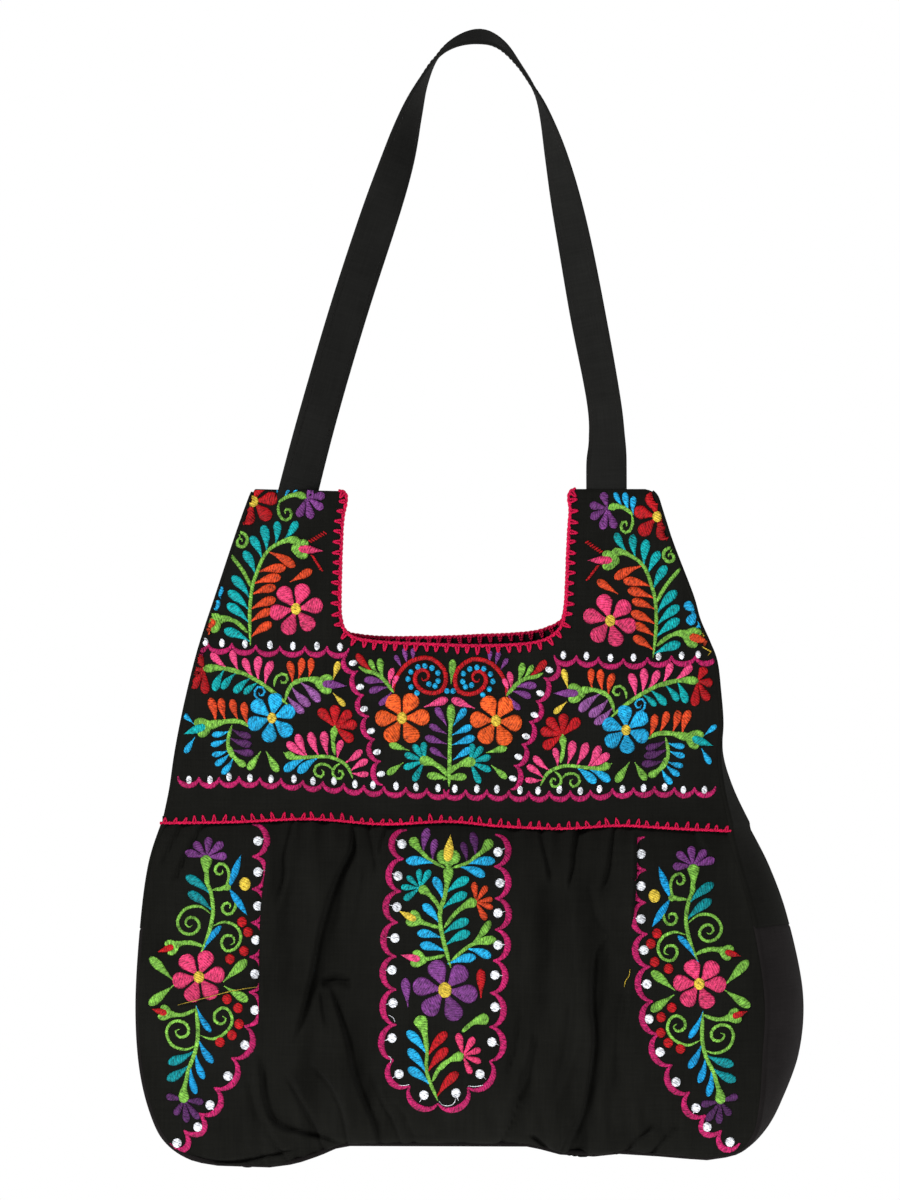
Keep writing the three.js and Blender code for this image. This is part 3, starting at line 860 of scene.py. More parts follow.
class SeamLine:
    """The seam of the front panels with the gussets, and its mirror on the back."""

    def __init__(self):
        rows = np.linspace(YOKE_ROWS[0][0], WAIST_ROW, YOKE_SEAM_STOPS)
        left, right, depth, _, shift = yoke_values(rows)
        left_yoke, right_yoke = [np.column_stack([place(column, rows, -depth * MM), shift * MM, rows])
                                 for column in (left, right)]
        down = np.linspace(0, 1, SIDE_SEAM_STOPS)
        across = np.linspace(-1, 1, HEM_SEAM_STOPS)
        sides = [self.pouch_edge(-1 + 0 * down, down), self.pouch_edge(across, 1 + 0 * across),
                 self.pouch_edge(1 + 0 * down, 1 - down)]
        dense = np.concatenate([left_yoke[:-1], sides[0], sides[1][1:-1], sides[2], right_yoke[-2::-1]])
        count = int(path_length(dense[:, :3]) / SEAM_STEP)
        line = at_lengths(dense, np.linspace(0, 1, count))
        self.front = line[:, :3]
        self.back = np.column_stack([line[:, 0] + line[:, 3], -line[:, 1], line[:, 2]])
        self.row = line[:, 4]
        width = np.linalg.norm(self.back - self.front, axis=1)
        self.radius = np.minimum(sizes().seam_roll, width * ROLL_SHARE)
        heading = np.gradient(self.front, axis=0)
        outward = np.column_stack([heading[:, 2], 0 * self.row, -heading[:, 0]])
        window = 2 * SEAM_SMOOTHING + 1
        soft = np.ones(window) / window
        padded = np.pad(outward, ((SEAM_SMOOTHING, SEAM_SMOOTHING), (0, 0)), mode="edge")
        smooth = [np.convolve(padded[:, axis], soft, mode="valid") for axis in range(3)]
        self.outward = unit(np.stack(smooth, axis=1))

    @staticmethod
    def pouch_edge(u, v):
        """Points of the pouch's edge, with the back's shift and the row."""
        px, py, half, shift = pouch_values(u, v)
        return np.column_stack([place(px, py, -half * MM), shift * MM, py])

    def roll(self, points, face):
        """Turns a panel's border into the seam. face is -1 on the front and 1 on the back."""
        line = self.front if face < 0 else self.back
        tree = KDTree(len(line))
        for index, spot in enumerate(line):
            tree.insert((spot[0], 0, spot[2]), index)
        tree.balance()
        flat = points.reshape(-1, 3)
        for index, spot in enumerate(flat):
            _, near, away = tree.find((spot[0], 0, spot[2]))
            radius = self.radius[near]
            if away < radius:
                flat[index] += self.turn_in(away / radius, radius) * self.bisector(near, face)
        return points

    @staticmethod
    def turn_in(share, radius):
        """Depth of a round turn at a share of its radius from the seam."""
        return radius * (1 - np.sqrt(np.maximum(0, 1 - (1 - share) ** 2)))

    def bisector(self, index, face):
        """Direction from a seam into the bag, between the panel and the gusset."""
        inward = np.zeros(self.outward[index].shape)
        inward[..., 1] = -face
        return (inward - self.outward[index]) * math.sqrt(0.5)


def weave_map(points):
    """A map in millimetres from the world's x and z, for a panel that hangs upright."""
    return points[..., [0, 2]] / MM


def neckline(back):
    """The dense neckline in pixels. The back one runs a little higher."""
    line = dense_path(NECKLINE)
    if back:
        reach = smoothstep(line[:, 1], BACK_NECK_FROM, BACK_NECK_FULL)
        line[:, 1] -= look_up(BACK_NECK_RISE, line[:, 0]) * reach
    return line


# Cells of the yoke's grid, and the share of it that is finer at an edge.
YOKE_SIDE_CELLS = 74
YOKE_WAIST_CELLS = 200
YOKE_DOWN_CELLS = 40
YOKE_SIDE_FINE = 0.022
YOKE_DOWN_FINE = 0.03


def yoke_points(back):
    """Pixels of the yoke, a strip that runs round the neckline from one shoulder to the other."""
    side = fine_ends(YOKE_SIDE_CELLS, YOKE_SIDE_FINE, end=False)
    waist = np.linspace(0, 1, YOKE_WAIST_CELLS + 1)
    low, high = NECK_CORNERS
    neck_share = np.concatenate([side * low, low + waist[1:-1] * (high - low), 1 - side[::-1] * (1 - high)])
    inner = at_lengths(neckline(back), neck_share)
    top = YOKE_ROWS[0][0]
    left_rows = top + side * (waist_row(WAIST_LINE[0][0]) - top)
    right_rows = top + side[::-1] * (waist_row(WAIST_LINE[-1][0]) - top)
    first, last = yoke_values(left_rows)[0][-1], yoke_values(right_rows)[1][0]
    waist_px = first + waist[1:-1] * (last - first)
    outer = np.concatenate([
        np.column_stack([yoke_values(left_rows)[0], left_rows]),
        np.column_stack([waist_px, waist_row(waist_px)]),
        np.column_stack([yoke_values(right_rows)[1], right_rows]),
    ])
    out = fine_ends(YOKE_DOWN_CELLS, YOKE_DOWN_FINE, start=False)[:, None, None]
    return inner + (outer - inner) * out


def to_back(points, shift):
    """Front points carried to the back panel, which hangs a little to one side."""
    return np.stack([points[..., 0] + shift, -points[..., 1], points[..., 2]], axis=-1)


def on_yoke(pixels, back, lift=0.0):
    """World points on the yoke, lifted off its outer face."""
    px, py = pixels[..., 0], pixels[..., 1]
    points = place(px, py, -(yoke_half_depth(px, py) + lift))
    if back:
        return to_back(points, yoke_values(py)[4] * MM)
    return points


# Cells of the pouch's grid, its tuck behind the yoke's hem, and where its relief calms down.
POUCH_DOWN_CELLS = 140
POUCH_DOWN_FINE = 0.024
POUCH_EDGE_FINE = 0.012
POUCH_EDGE_CLEAR = 0.016
POUCH_PROBES = 400
LOOSE_CELL = 1.65
STIFF_CELL = 3.2
CELL_SOFT = 10
TUCK_ROWS = (
    # rise in pixels, depth in millimetres
    (-7, 4.6), (-4, 4.2), (-1.5, 3.6),
)
TUCK_DEPTH = 3.2
TUCK_REACH = 8
SIDE_CALM = 0.05
BOTTOM_CALM = 0.03
FRONT_SEED = 20
BACK_SEED = 40


def pouch_stops():
    """Stops across the pouch from 0 to 1, close together in the loose cloth."""
    columns = np.linspace(POUCH_ROWS[0][2], POUCH_ROWS[0][3], POUCH_PROBES)
    loose = np.clip(within(columns, GATHER_SPANS, CELL_SOFT), 0, 1)
    cell = STIFF_CELL + (LOOSE_CELL - STIFF_CELL) * loose
    count = np.concatenate([[0], np.cumsum(np.diff(columns) / cell[1:])])
    even = np.linspace(0, 1, int(count[-1]) + 1)
    share = np.interp(even * count[-1], count, np.linspace(0, 1, len(columns)))
    inner = share[(share > POUCH_EDGE_CLEAR) & (share < 1 - POUCH_EDGE_CLEAR)]
    edge = np.array(FINE_STOPS) * POUCH_EDGE_FINE
    return np.concatenate([edge, inner, 1 - edge[::-1]])


def pouch_points(seam, back):
    """World points of one pouch panel, from the tuck behind the yoke's hem to the bottom seam."""
    u = pouch_stops() * 2 - 1
    v = fine_ends(POUCH_DOWN_CELLS, POUCH_DOWN_FINE, start=False)
    v = np.concatenate([np.zeros(len(TUCK_ROWS)), v])
    px, py, half, shift = pouch_values(u[None, :], v[:, None])
    px = np.broadcast_to(px, py.shape)
    below = py - waist_row(px)
    inset = TUCK_DEPTH * np.exp(-np.maximum(below, 0) / TUCK_REACH)
    for index, (rise, depth) in enumerate(TUCK_ROWS):
        py[index] += rise
        inset[index] = depth
    if back:
        mirrored = [(*sizes_of_fold, -side, [(FRAME_WIDTH - x, y) for x, y in route])
                    for *sizes_of_fold, side, route in FOLDS]
        relief = fold_relief(px, py, mirrored) + gather_relief(px, py, BACK_SEED)
    else:
        relief = fold_relief(px, py, FOLDS + LAPS) + gather_relief(px, py, FRONT_SEED)
    border = smoothstep(1 - np.abs(u)[None, :], 0, SIDE_CALM) * smoothstep(1 - v[:, None], 0, BOTTOM_CALM)
    points = place(px, py, -(half - inset + relief * border) * MM)
    if back:
        points = to_back(points, shift * MM)
    return seam.roll(points, 1 if back else -1)


# Operators

# The stage, in metres and watts.
LAMPS = (
    # name, place, size, power
    ("key_light", (-2.1, -1.85, 1.35), 1.0, 90.0),
    ("fill_light", (1.9, -2.2, 0.0), 1.6, 16.0),
    ("back_key_light", (2.1, 1.85, 1.35), 1.0, 90.0),
    ("back_fill_light", (-1.9, 2.2, 0.0), 1.6, 18.0),
)
FLOOR_RADIUS = 3.8
FLOOR_DROP = 0.28
FLOOR_SEGMENTS = 96
FLOOR_GLOW = 1.45
AMBIENT = 0.1
GREY = (0.5, 0.5, 0.5, 1.0)
WHITE = (1.0, 1.0, 1.0, 1.0)


class BAG_OT_stage(bpy.types.Operator):
    """Make the camera, the floor and the soft lights."""
    bl_idname = "bag.stage"
    bl_label = "Set the stage"

    def execute(self, context):
        scene = context.scene
        lens = bpy.data.cameras.new("camera")
        lens.sensor_width = SENSOR
        lens.lens = SENSOR * CAMERA_DISTANCE / (FRAME_HEIGHT * PIXEL)
        camera = bpy.data.objects.new("camera", lens)
        camera.location = (VIEW_X, -CAMERA_DISTANCE, VIEW_Z)
        camera.rotation_euler = (math.pi / 2, 0, 0)
        scene.collection.objects.link(camera)
        scene.camera = camera
        scene.view_settings.view_transform = "Standard"
        self.floor(scene)
        self.world(scene)
        for lamp in LAMPS:
            self.lamp(scene, *lamp)
        return {"FINISHED"}

    def floor(self, scene):
        """A pale round floor below the hanging bag, under the photograph's frame."""
        bm = bmesh.new()
        bmesh.ops.create_circle(bm, cap_ends=True, segments=FLOOR_SEGMENTS, radius=FLOOR_RADIUS)
        bmesh.ops.translate(bm, verts=bm.verts, vec=(0, 0, CAD_BOX[0][2] - FLOOR_DROP))
        mesh = bpy.data.meshes.new("floor")
        bm.to_mesh(mesh)
        bm.free()
        finish = Finish("pale_floor")
        mesh.materials.append(finish.surface({
            "Base Color": GREY, "Roughness": 1.0,
            "Emission Color": WHITE, "Emission Strength": FLOOR_GLOW}))
        floor = bpy.data.objects.new("floor", mesh)
        scene.collection.objects.link(floor)

    def world(self, scene):
        """A white studio whose walls light the bag less than they show."""
        world = bpy.data.worlds.new("white_studio")
        world.use_nodes = True
        tree = world.node_tree
        background = tree.nodes["Background"]
        background.inputs["Color"].default_value = WHITE
        seen = Value(tree, tree.nodes.new("ShaderNodeLightPath").outputs["Is Camera Ray"])
        tree.links.new((AMBIENT + seen * (1 - AMBIENT)).socket, background.inputs["Strength"])
        scene.world = world

    def lamp(self, scene, name, spot, size, power):
        """A large soft light that faces the middle of the bag."""
        data = bpy.data.lights.new(name, "AREA")
        data.shape = "DISK"
        data.size = size
        data.energy = power
        lamp = bpy.data.objects.new(name, data)
        lamp.location = spot
        aim = lamp.location.copy()
        aim.x -= VIEW_X
        aim.z -= VIEW_Z
        lamp.rotation_euler = aim.to_track_quat("Z", "Y").to_euler()
        scene.collection.objects.link(lamp)


FACES = (("front", False), ("back", True))

# Flat sizes and areas of the cloth, in metres.
SIDE_FLAT = (0.062, 0.300)
SIDE_AREA = 0.0122
BOTTOM_FLAT = (0.070, 0.760)
BOTTOM_AREA = 0.044


class BAG_OT_sew_yokes(bpy.types.Operator):
    """Sew the front and back yokes."""
    bl_idname = "bag.sew_yokes"
    bl_label = "Sew the yokes"

    def execute(self, context):
        seam = SeamLine()
        for side, back in FACES:
            points = seam.roll(on_yoke(yoke_points(back), back), 1 if back else -1)
            piece = sew(f"{side}_yoke", points, weave_map(points), not back)
        return {"FINISHED"}


class BAG_OT_sew_pouches(bpy.types.Operator):
    """Sew the gathered front and back pouches."""
    bl_idname = "bag.sew_pouches"
    bl_label = "Sew the pouches"

    def execute(self, context):
        seam = SeamLine()
        for side, back in FACES:
            points = pouch_points(seam, back)
            piece = sew(f"{side}_pouch", points, weave_map(points), not back)
        return {"FINISHED"}


# The gussets, with stops along the seam and rows in pixels.
GUSSET_ACROSS_CELLS = 26
GUSSET_ACROSS_FINE = 0.08
GUSSET_START = 5
GUSSET_STRIDE = 4
GUSSET_LAP = 4
LAP_STEP = 0.6 * MM
SWELL_ROWS = (770, 930)
GUSSET_TUCK = 0.0012
BOTTOM_SWELL = 1.08


class BAG_OT_sew_gussets(bpy.types.Operator):
    """Sew the two side gussets and the bottom gusset."""
    bl_idname = "bag.sew_gussets"
    bl_label = "Sew the gussets"

    def execute(self, context):
        seam = SeamLine()
        crossing = np.flatnonzero(seam.row >= SIDE_CROSS_ROW)
        first, last = crossing[0], crossing[-1]
        side = ("black_cotton_weave", "black_cotton", SIDE_FLAT, SIDE_AREA)
        bottom = ("grey_cotton_weave", "grey_cotton", BOTTOM_FLAT, BOTTOM_AREA)
        spans = (
            # name, first stop, last stop, finish, slot, flat size, flat area
            ("left_side_gusset", GUSSET_START, first, *side),
            ("bottom_gusset", first - GUSSET_LAP, last + GUSSET_LAP, *bottom),
            ("right_side_gusset", last, len(seam.row) - GUSSET_START, *side),
        )
        for name, low, high, finish, slot, flat, area in spans:
            stops = np.unique(np.concatenate([np.arange(low, high, GUSSET_STRIDE), [high]]))
            points, weave = self.loft(seam, stops)
            if name == "bottom_gusset":
                ends = np.minimum(stops - low, high - stops)[:, None, None] < 2 * GUSSET_LAP
                points = points - seam.outward[stops][:, None] * LAP_STEP * ends
            piece = sew(name, points, weave, True, finish)
        return {"FINISHED"}

    def loft(self, seam, stops):
        """Points between the two seams, swelling outwards, with borders rolled into the seams."""
        across = fine_ends(GUSSET_ACROSS_CELLS, GUSSET_ACROSS_FINE)
        across = np.concatenate([[0], across, [1]])[None, :, None]
        front = seam.front[stops][:, None]
        back = seam.back[stops][:, None]
        outward = seam.outward[stops][:, None]
        width = np.linalg.norm(back - front, axis=-1, keepdims=True)
        bottom = np.clip(-outward[..., 2:], 0, 1)
        swell = sizes().gusset_swell * smoothstep(seam.row[stops], *SWELL_ROWS)[:, None, None]
        swell = swell * (1 - BOTTOM_SWELL * bottom)
        points = front + (back - front) * across
        points = points + outward * swell * np.sin(math.pi * across)
        radius = seam.radius[stops][:, None, None]
        for face, away in ((-1, across * width), (1, (1 - across) * width)):
            share = np.clip(away / radius, 0, 1)
            points = points + seam.turn_in(share, radius) * seam.bisector(stops, face)[:, None]
        points[:, 0] += GUSSET_TUCK * seam.bisector(stops, -1)
        points[:, -1] += GUSSET_TUCK * seam.bisector(stops, 1)
        along = run_lengths(seam.front[stops])
        weave = np.stack(np.broadcast_arrays(along[:, None], (across * width)[..., 0]), axis=-1) / MM
        return points, weave


STRAP_RINGS = 260
STRAP_AROUND = 28
STRAP_WIDTH_POWER = 1 / 3
STRAP_EDGE_POWER = 0.75
STRAP_WAVE = 0.35 * MM
STRAP_WAVELENGTH = 60
STRAP_SEED = 5


def strap_frame(count):
    """Points along the strap, with the band's sideways and face directions."""
    line = at_lengths(dense_path(STRAP_STATIONS), np.linspace(0, 1, count))
    points = place(line[:, 0], line[:, 1])
    turn = np.radians(line[:, 2])[:, None]
    tangent = unit(np.gradient(points, axis=0))
    in_plane = np.cross(tangent, DEPTH_AXIS)
    sideways = unit(in_plane * np.cos(turn) - DEPTH_AXIS * np.sin(turn))
    return points, sideways, unit(np.cross(tangent, sideways))


class BAG_OT_sew_strap(bpy.types.Operator):
    """Sew the shoulder strap."""
    bl_idname = "bag.sew_strap"
    bl_label = "Sew the strap"

    def execute(self, context):
        points, sideways, face = strap_frame(STRAP_RINGS)
        angle = np.linspace(0, 2 * math.pi, STRAP_AROUND + 1)
        cos, sin = np.cos(angle), np.sin(angle)
        wide = np.sign(cos) * np.abs(cos) ** STRAP_WIDTH_POWER * sizes().strap_width / 2
        thick = np.sign(sin) * np.abs(sin) ** STRAP_EDGE_POWER * sizes().strap_thickness / 2
        along = run_lengths(points) / MM
        wave = STRAP_WAVE * soft_noise(along, 0 * along, STRAP_WAVELENGTH, STRAP_SEED)
        rings = points[:, None] + sideways[:, None] * wide[:, None] + face[:, None] * thick[:, None]
        rings = rings + face[:, None] * wave[:, None, None]
        girth = run_lengths(np.column_stack([wide, thick])) / MM
        weave = np.stack(np.broadcast_arrays(along[:, None], girth), axis=-1)
        mesh = grid_mesh("strap_cloth", rings, weave)
        close_mesh(mesh)
        piece = add_piece("strap_cloth", mesh, "strap_cotton_weave", ["strap"])
        return {"FINISHED"}


# The crocheted borders, with pitches and legs in pixels and the cord in metres.
TOOTH_PITCH = 10.2
WAIST_TOOTH_PITCH = 9.8
CORD_PITCH = 0.0062
CORD_TWIST = 0.55
CORD_STEP = 0.9 * MM
CORD_SWELL = 0.12
CORD_SWELL_LENGTH = 5
CORD_SEED = 8
HEADING_STEP = 0.002
TIP_WANDER = 8
LONGER_SHARE = 0.6
LEG_SPREAD = 1.5
LEG_SHARE = 0.8
LEG_START = 0.5
LEG_BEND = 0.4
LEG_TAPER = np.array((1.0, 1.05, 1.0, 1.0, 0.95, 0.75))
NECK_UNEVEN = 0.14
WAIST_UNEVEN = 0.3
CLOTH_LIFT = 0.0005


class BAG_OT_crochet_edgings(bpy.types.Operator):
    """Crochet the borders of the neckline and the waist."""
    bl_idname = "bag.crochet_edgings"
    bl_label = "Crochet the borders"

    def execute(self, context):
        for side, back in FACES:
            strips = Strips()
            line = neckline(back)
            self.cord(strips, line, back, 0.0, sizes().yarn)
            self.teeth(strips, line, TOOTH_PITCH, sizes().tooth, sizes().yarn, NECK_UNEVEN, back, NECK_MIDDLE,
                       (1, -1))
            name = f"{side}_neck_edging"
            add_piece(f"{name}_yarn", strips.mesh(name), "crochet_yarn", [name])
        strips = Strips()
        middle = (FRAME_WIDTH / 2, FRAME_HEIGHT)
        self.cord(strips, WAIST_DENSE, False, CLOTH_LIFT, sizes().waist_yarn)
        self.teeth(strips, WAIST_DENSE, WAIST_TOOTH_PITCH, sizes().waist_tooth, sizes().waist_yarn,
                   WAIST_UNEVEN, False, middle, (1, ))
        add_piece("waist_edging_yarn", strips.mesh("waist_edging"), "crochet_yarn",
                  ["waist_edging"])
        return {"FINISHED"}

    def cord(self, strips, line, back, lift, yarn):
        """Two strands twisted round each other along the edge of the cloth."""
        length = path_length(line) * PIXEL
        count = int(length / CORD_STEP)
        pixels = at_lengths(line, np.linspace(0, 1, count))
        points = on_yoke(pixels, back, lift - sizes().cloth / 2)
        side, front = path_frame(points)
        along = np.linspace(0, length, count)
        swell = 1 + CORD_SWELL * soft_noise(along / MM, 0 * along, CORD_SWELL_LENGTH, CORD_SEED)
        for phase in (0, math.pi):
            angle = (along / CORD_PITCH * 2 * math.pi + phase)[:, None]
            strand = points + CORD_TWIST * yarn * (side * np.cos(angle) + front * np.sin(angle))
            tube(strips, strand, yarn * swell)

    def teeth(self, strips, line, pitch, length, yarn, uneven, back, away_from, faces):
        """Blanket stitches of two legs that lean together."""
        rng = np.random.default_rng(SEED)
        count = int(path_length(line) / pitch)
        share = (np.arange(count) + 0.5) / count
        spots = at_lengths(line, share)
        after = at_lengths(line, np.minimum(share + HEADING_STEP, 1))
        ahead = unit(after - at_lengths(line, np.maximum(share - HEADING_STEP, 0)))
        inside = facing_away(spots, ahead, away_from)
        span = (1 - uneven, 1 + LONGER_SHARE * uneven)
        for spot, along, into in zip(spots, ahead, inside):
            reach = length / PIXEL * rng.uniform(*span)
            spread = LEG_SPREAD * rng.uniform(*span)
            tip = spot + into * reach + along * rng.uniform(-TIP_WANDER, TIP_WANDER) * uneven
            for face in faces:
                lift = CLOTH_LIFT if face > 0 else -sizes().cloth - CLOTH_LIFT
                for leg in (-1, 1):
                    foot = spot + along * leg * spread + into * LEG_START
                    bend = (foot + tip) / 2 + along * leg * LEG_BEND
                    pixels = smooth_rows((foot, bend, tip), np.linspace(0, 1, len(LEG_TAPER)))
                    tube(strips, on_yoke(pixels, back, lift), yarn * LEG_SHARE * LEG_TAPER)


# Embroidery

def round_tip(share, start, power):
    """1 up to a start, then a round fall to 0 at the tip."""
    return np.sqrt(1 - np.clip((share - start) / (1 - start), 0, 1) ** power)


def drop_profile(share):
    """A thin tail that widens to a round tip."""
    body = 0.13 + 0.87 * smoothstep(share, 0.02, 0.76)
    return body * round_tip(share, 0.7, 2.2)


def petal_profile(share):
    """A full petal that is narrow at the flower's centre and blunt outside."""
    body = 0.22 + 0.78 * smoothstep(share, 0.0, 0.7)
    return body * round_tip(share, 0.62, 2.8)


def fan_profile(share):
    """A wedge that widens evenly from its base to a round end."""
    body = 0.1 + 0.9 * np.clip(share / 0.74, 0, 1)
    return body * round_tip(share, 0.7, 2.4)


def flame_profile(share):
    """Full near the base, with a long pointed tip."""
    return np.sin(math.pi * share ** 0.58)


def spindle_profile(share):
    """Pointed at both ends."""
    return np.sin(math.pi * share)


def crescent_profile(share):
    """Full in the middle, thin at both ends."""
    return 0.2 + 0.8 * np.sin(math.pi * share)


def round_profile(share):
    """A disc."""
    return np.sqrt(np.maximum(0, 1 - (2 * share - 1) ** 2))


def line_profile(share):
    """An even line with rounded ends."""
    return np.minimum(1, 6 * np.minimum(share, 1 - share)) ** 0.5


def club_profile(share):
    """A stem that starts thick and round and thins out."""
    start = np.minimum(1, 9 * share) ** 0.5
    end = np.minimum(1, 12 * (1 - share)) ** 0.5
    return start * (1 - 0.62 * smoothstep(share, 0.12, 0.6)) * end


# Cross section of a strip of stitches, from edge to edge, with the shade painted at its rims and on its lower
# side.
STITCH_COLUMNS = np.array((-1, -0.8, -0.32, 0.32, 0.8, 1))
# Painted shade: the thread is darker towards the strip's rims, where it dives into the cloth.
STITCH_PAINTED_RIM_SHADE = np.array((0.5, 0.93, 1, 1, 0.93, 0.5))
STITCH_SINK = 0.00014
STITCH_SLANT = 0.42
# How much lighter the upper side and darker the lower side of a strip is painted, as if lit from above.
STITCH_PAINTED_LOWER_SHADE = 0.2
DOME_POWER = 0.55
WIDE_STITCH = 5.0
HAIR_RELIEF = 0.45
FULL_WIDTH = 0.6
LEAST_HALF = 0.25
END_ANGLE = 0.06
NEAR_CLOTH = -0.03
VIEW_LEAN = (0, -0.8, 0)

# Where a strip is cut, and how its thread changes.
CUT_ROWS = 61
CUT_COLUMNS = 41
CUT_STRIP_ROWS = 28
CUT_ENDS = (0.001, 0.999)
SHORTEST_RUN = 0.04
MAP_SLIDE = 200
TONES = (0.9, 1.1)
MOTTLE = 0.07
GREEN_MOTTLE = 0.26

# Motifs, with widths and steps in pixels and lifts in millimetres.
LEAF_BOW = 0.05
LEAF_SLIDE = 6.0
LEAF_SHAPE = 0.185
LEAF_HALF = (2.8, 5.2)
STEM_REACH = 9.0
LINE_STEP = 3.0
LINE_ROWS = (8, 44)
LINE_RELIEF = 0.9
CLUB_LIFT = 0.08
TWIST_STEP = 2.6
TWIST_SLANT = np.array((1.1, 0.7))
TWIST_HALF = 0.62
PETALS = 6
PETAL_WANDER = 2.5
# Petals that point down are painted darker and those that point up lighter, as if lit from above.
PETAL_PAINTED_LIGHT = 0.14
PETAL_TONE = 0.08
PETAL_REACH = (0.96, 1.03)
PETAL_ROOT = 0.12
PETAL_MIDDLE = 0.6
PETAL_RELIEF = 1.05
EYE_STRETCH = 1.1
EYE_LIFT = 0.5
EYE_RELIEF = 0.8
FAN_SHAPE = 0.19
FAN_HALF = (2.8, 4.4)
FAN_TONES = (0.74, 1.12)
SCALLOP_STOPS = 7
SCALLOP_RELIEF = 0.8
BUD_CUP = (
    # steps ahead and across, in radii
    (-1, 0), (0, 0), (0.3, 0),
)
BUD_LOBE = ((-0.9, 0.2), (-0.15, 0.55), (0.75, 0.55))
BUD_ROOT = 0.3
CUP_HALF = 0.6
CUP_LIFT = 0.05
LOBE_HALF = 0.46
LOBE_LIFT = 0.15
FLAME_HALF = 0.48
FLAME_LIFT = 0.55


class Embroidery:
    """Draws motifs in photograph pixels and lays them on a piece of cloth."""

    def __init__(self, cloth, shows, stems):
        mesh = bpy.data.objects[cloth].data
        corners = [vertex.co for vertex in mesh.vertices]
        self.tree = BVHTree.FromPolygons(corners, [tuple(face.vertices) for face in mesh.polygons])
        self.eye = np.array((VIEW_X, -CAMERA_DISTANCE, VIEW_Z))
        self.shows = shows
        self.mirror = None
        self.strips = Strips()
        self.rng = np.random.default_rng(SEED)
        routes = [dense_path(route) for _, route in stems]
        self.stem_spots = np.concatenate(routes)
        self.stem_headings = np.concatenate([unit(np.gradient(route, axis=0)) for route in routes])

    def lay(self, pixels, height):
        """World points of pixels on the cloth, raised along its normal."""
        flat = pixels.reshape(-1, 2)
        aim = unit(place(flat[:, 0], flat[:, 1]) - self.eye)
        near = place(flat[:, 0], flat[:, 1], NEAR_CLOTH)
        result = np.empty((len(flat), 3))
        for index, (direction, rise) in enumerate(zip(aim, height.ravel())):
            spot, normal, _, _ = self.tree.ray_cast(self.eye, direction)
            if spot is None:
                spot, normal, _, _ = self.tree.find_nearest(near[index])
            lean = np.array(normal) + VIEW_LEAN
            result[index] = np.array(spot) + lean / np.linalg.norm(lean) * rise
        return result.reshape(*pixels.shape[:-1], 3)

    def sections(self, dense, share, half, profile, column):
        """Pixels across a strip at shares of its length, and its half widths there."""
        centre = at_lengths(dense, share)
        ahead = unit(np.gradient(centre, axis=0))
        side = turned(ahead)
        width = np.maximum(profile(share) * half, LEAST_HALF)
        return centre[:, None] + side[:, None] * (width[:, None] * column)[..., None], width

    def cut(self, dense, share, half, profile):
        """Which rows of a strip show at all, and the first and last column that shows in each."""
        column = np.linspace(-1, 1, CUT_COLUMNS)
        pixels, _ = self.sections(dense, share, half, profile, column)
        shown = self.shows(pixels.reshape(-1, 2)).reshape(len(share), CUT_COLUMNS)
        first = column[shown.argmax(axis=1)]
        last = column[::-1][shown[:, ::-1].argmax(axis=1)]
        return shown.any(axis=1), first, last

    def ribbon(self, route, half, colour, profile, rows=11, relief=1.0, lift=0.0, shade=None):
        """A raised strip of stitches along a route, with a half width in pixels, cut at the seams."""
        route = np.asarray(route, dtype=float)
        if self.mirror:
            route = self.mirror(route)
        dense = dense_path(route) if len(route) > 2 else route
        offset = self.rng.uniform(0, MAP_SLIDE)
        tone = self.rng.uniform(*TONES) if shade is None else shade
        mottle = GREEN_MOTTLE if colour == "green" else MOTTLE
        patches = tone * (1 + mottle * self.rng.uniform(-1, 1, rows))
        stops = np.linspace(*CUT_ENDS, CUT_ROWS)
        shown, first, last = self.cut(dense, stops, half, profile)
        if not (shown.all() and first.max() == -1 and last.min() == 1):
            fine = max(rows, CUT_STRIP_ROWS)
            patches = np.interp(np.linspace(0, 1, fine), np.linspace(0, 1, rows), patches)
            rows = fine
        turns = np.flatnonzero(np.diff(np.concatenate([[0], shown.astype(int), [0]])))
        for low, high in zip(stops[turns[::2]], stops[turns[1::2] - 1]):
            if high - low > SHORTEST_RUN:
                angle = np.linspace(END_ANGLE, math.pi - END_ANGLE, rows)
                share = low + (high - low) * (1 - np.cos(angle)) / 2
                self.strip(dense, share, half, profile, relief, lift, offset, patches, colour)

    def strip(self, dense, share, half, profile, relief, lift, offset, patches, colour):
        """The stitches of a strip at shares of its length."""
        _, first, last = self.cut(dense, share, half, profile)
        column = first[:, None] + (last - first)[:, None] * (STITCH_COLUMNS + 1) / 2
        pixels, width = self.sections(dense, share, half, profile, column)
        full = sizes().relief * relief * min(1, HAIR_RELIEF + (1 - HAIR_RELIEF) * half / WIDE_STITCH)
        dome = np.maximum(0, 1 - column ** 2) ** DOME_POWER
        height = full * dome * np.minimum(1, width / (FULL_WIDTH * half))[:, None] + lift * MM
        height[:, (0, -1)] = lift * MM - STITCH_SINK
        along = share * path_length(dense) * PIXEL_MM
        across = width[:, None] * column * PIXEL_MM
        cos, sin = math.cos(STITCH_SLANT), math.sin(STITCH_SLANT)
        weave = np.stack([along[:, None] * cos + across * sin + offset,
                          across * cos - along[:, None] * sin], axis=-1)
        # Painted shade: the random tone of each row, darkened at the rims and on the strip's lower side,
        # lightened on its upper side.
        below = (pixels[..., 1] - at_lengths(dense, share)[:, 1:]) / half
        shade = patches[:, None] * STITCH_PAINTED_RIM_SHADE * (1 - STITCH_PAINTED_LOWER_SHADE * below)
        thread = shade[..., None] * np.array(getattr(colours(), colour))
        self.strips.add(self.lay(pixels, height), weave, thread)

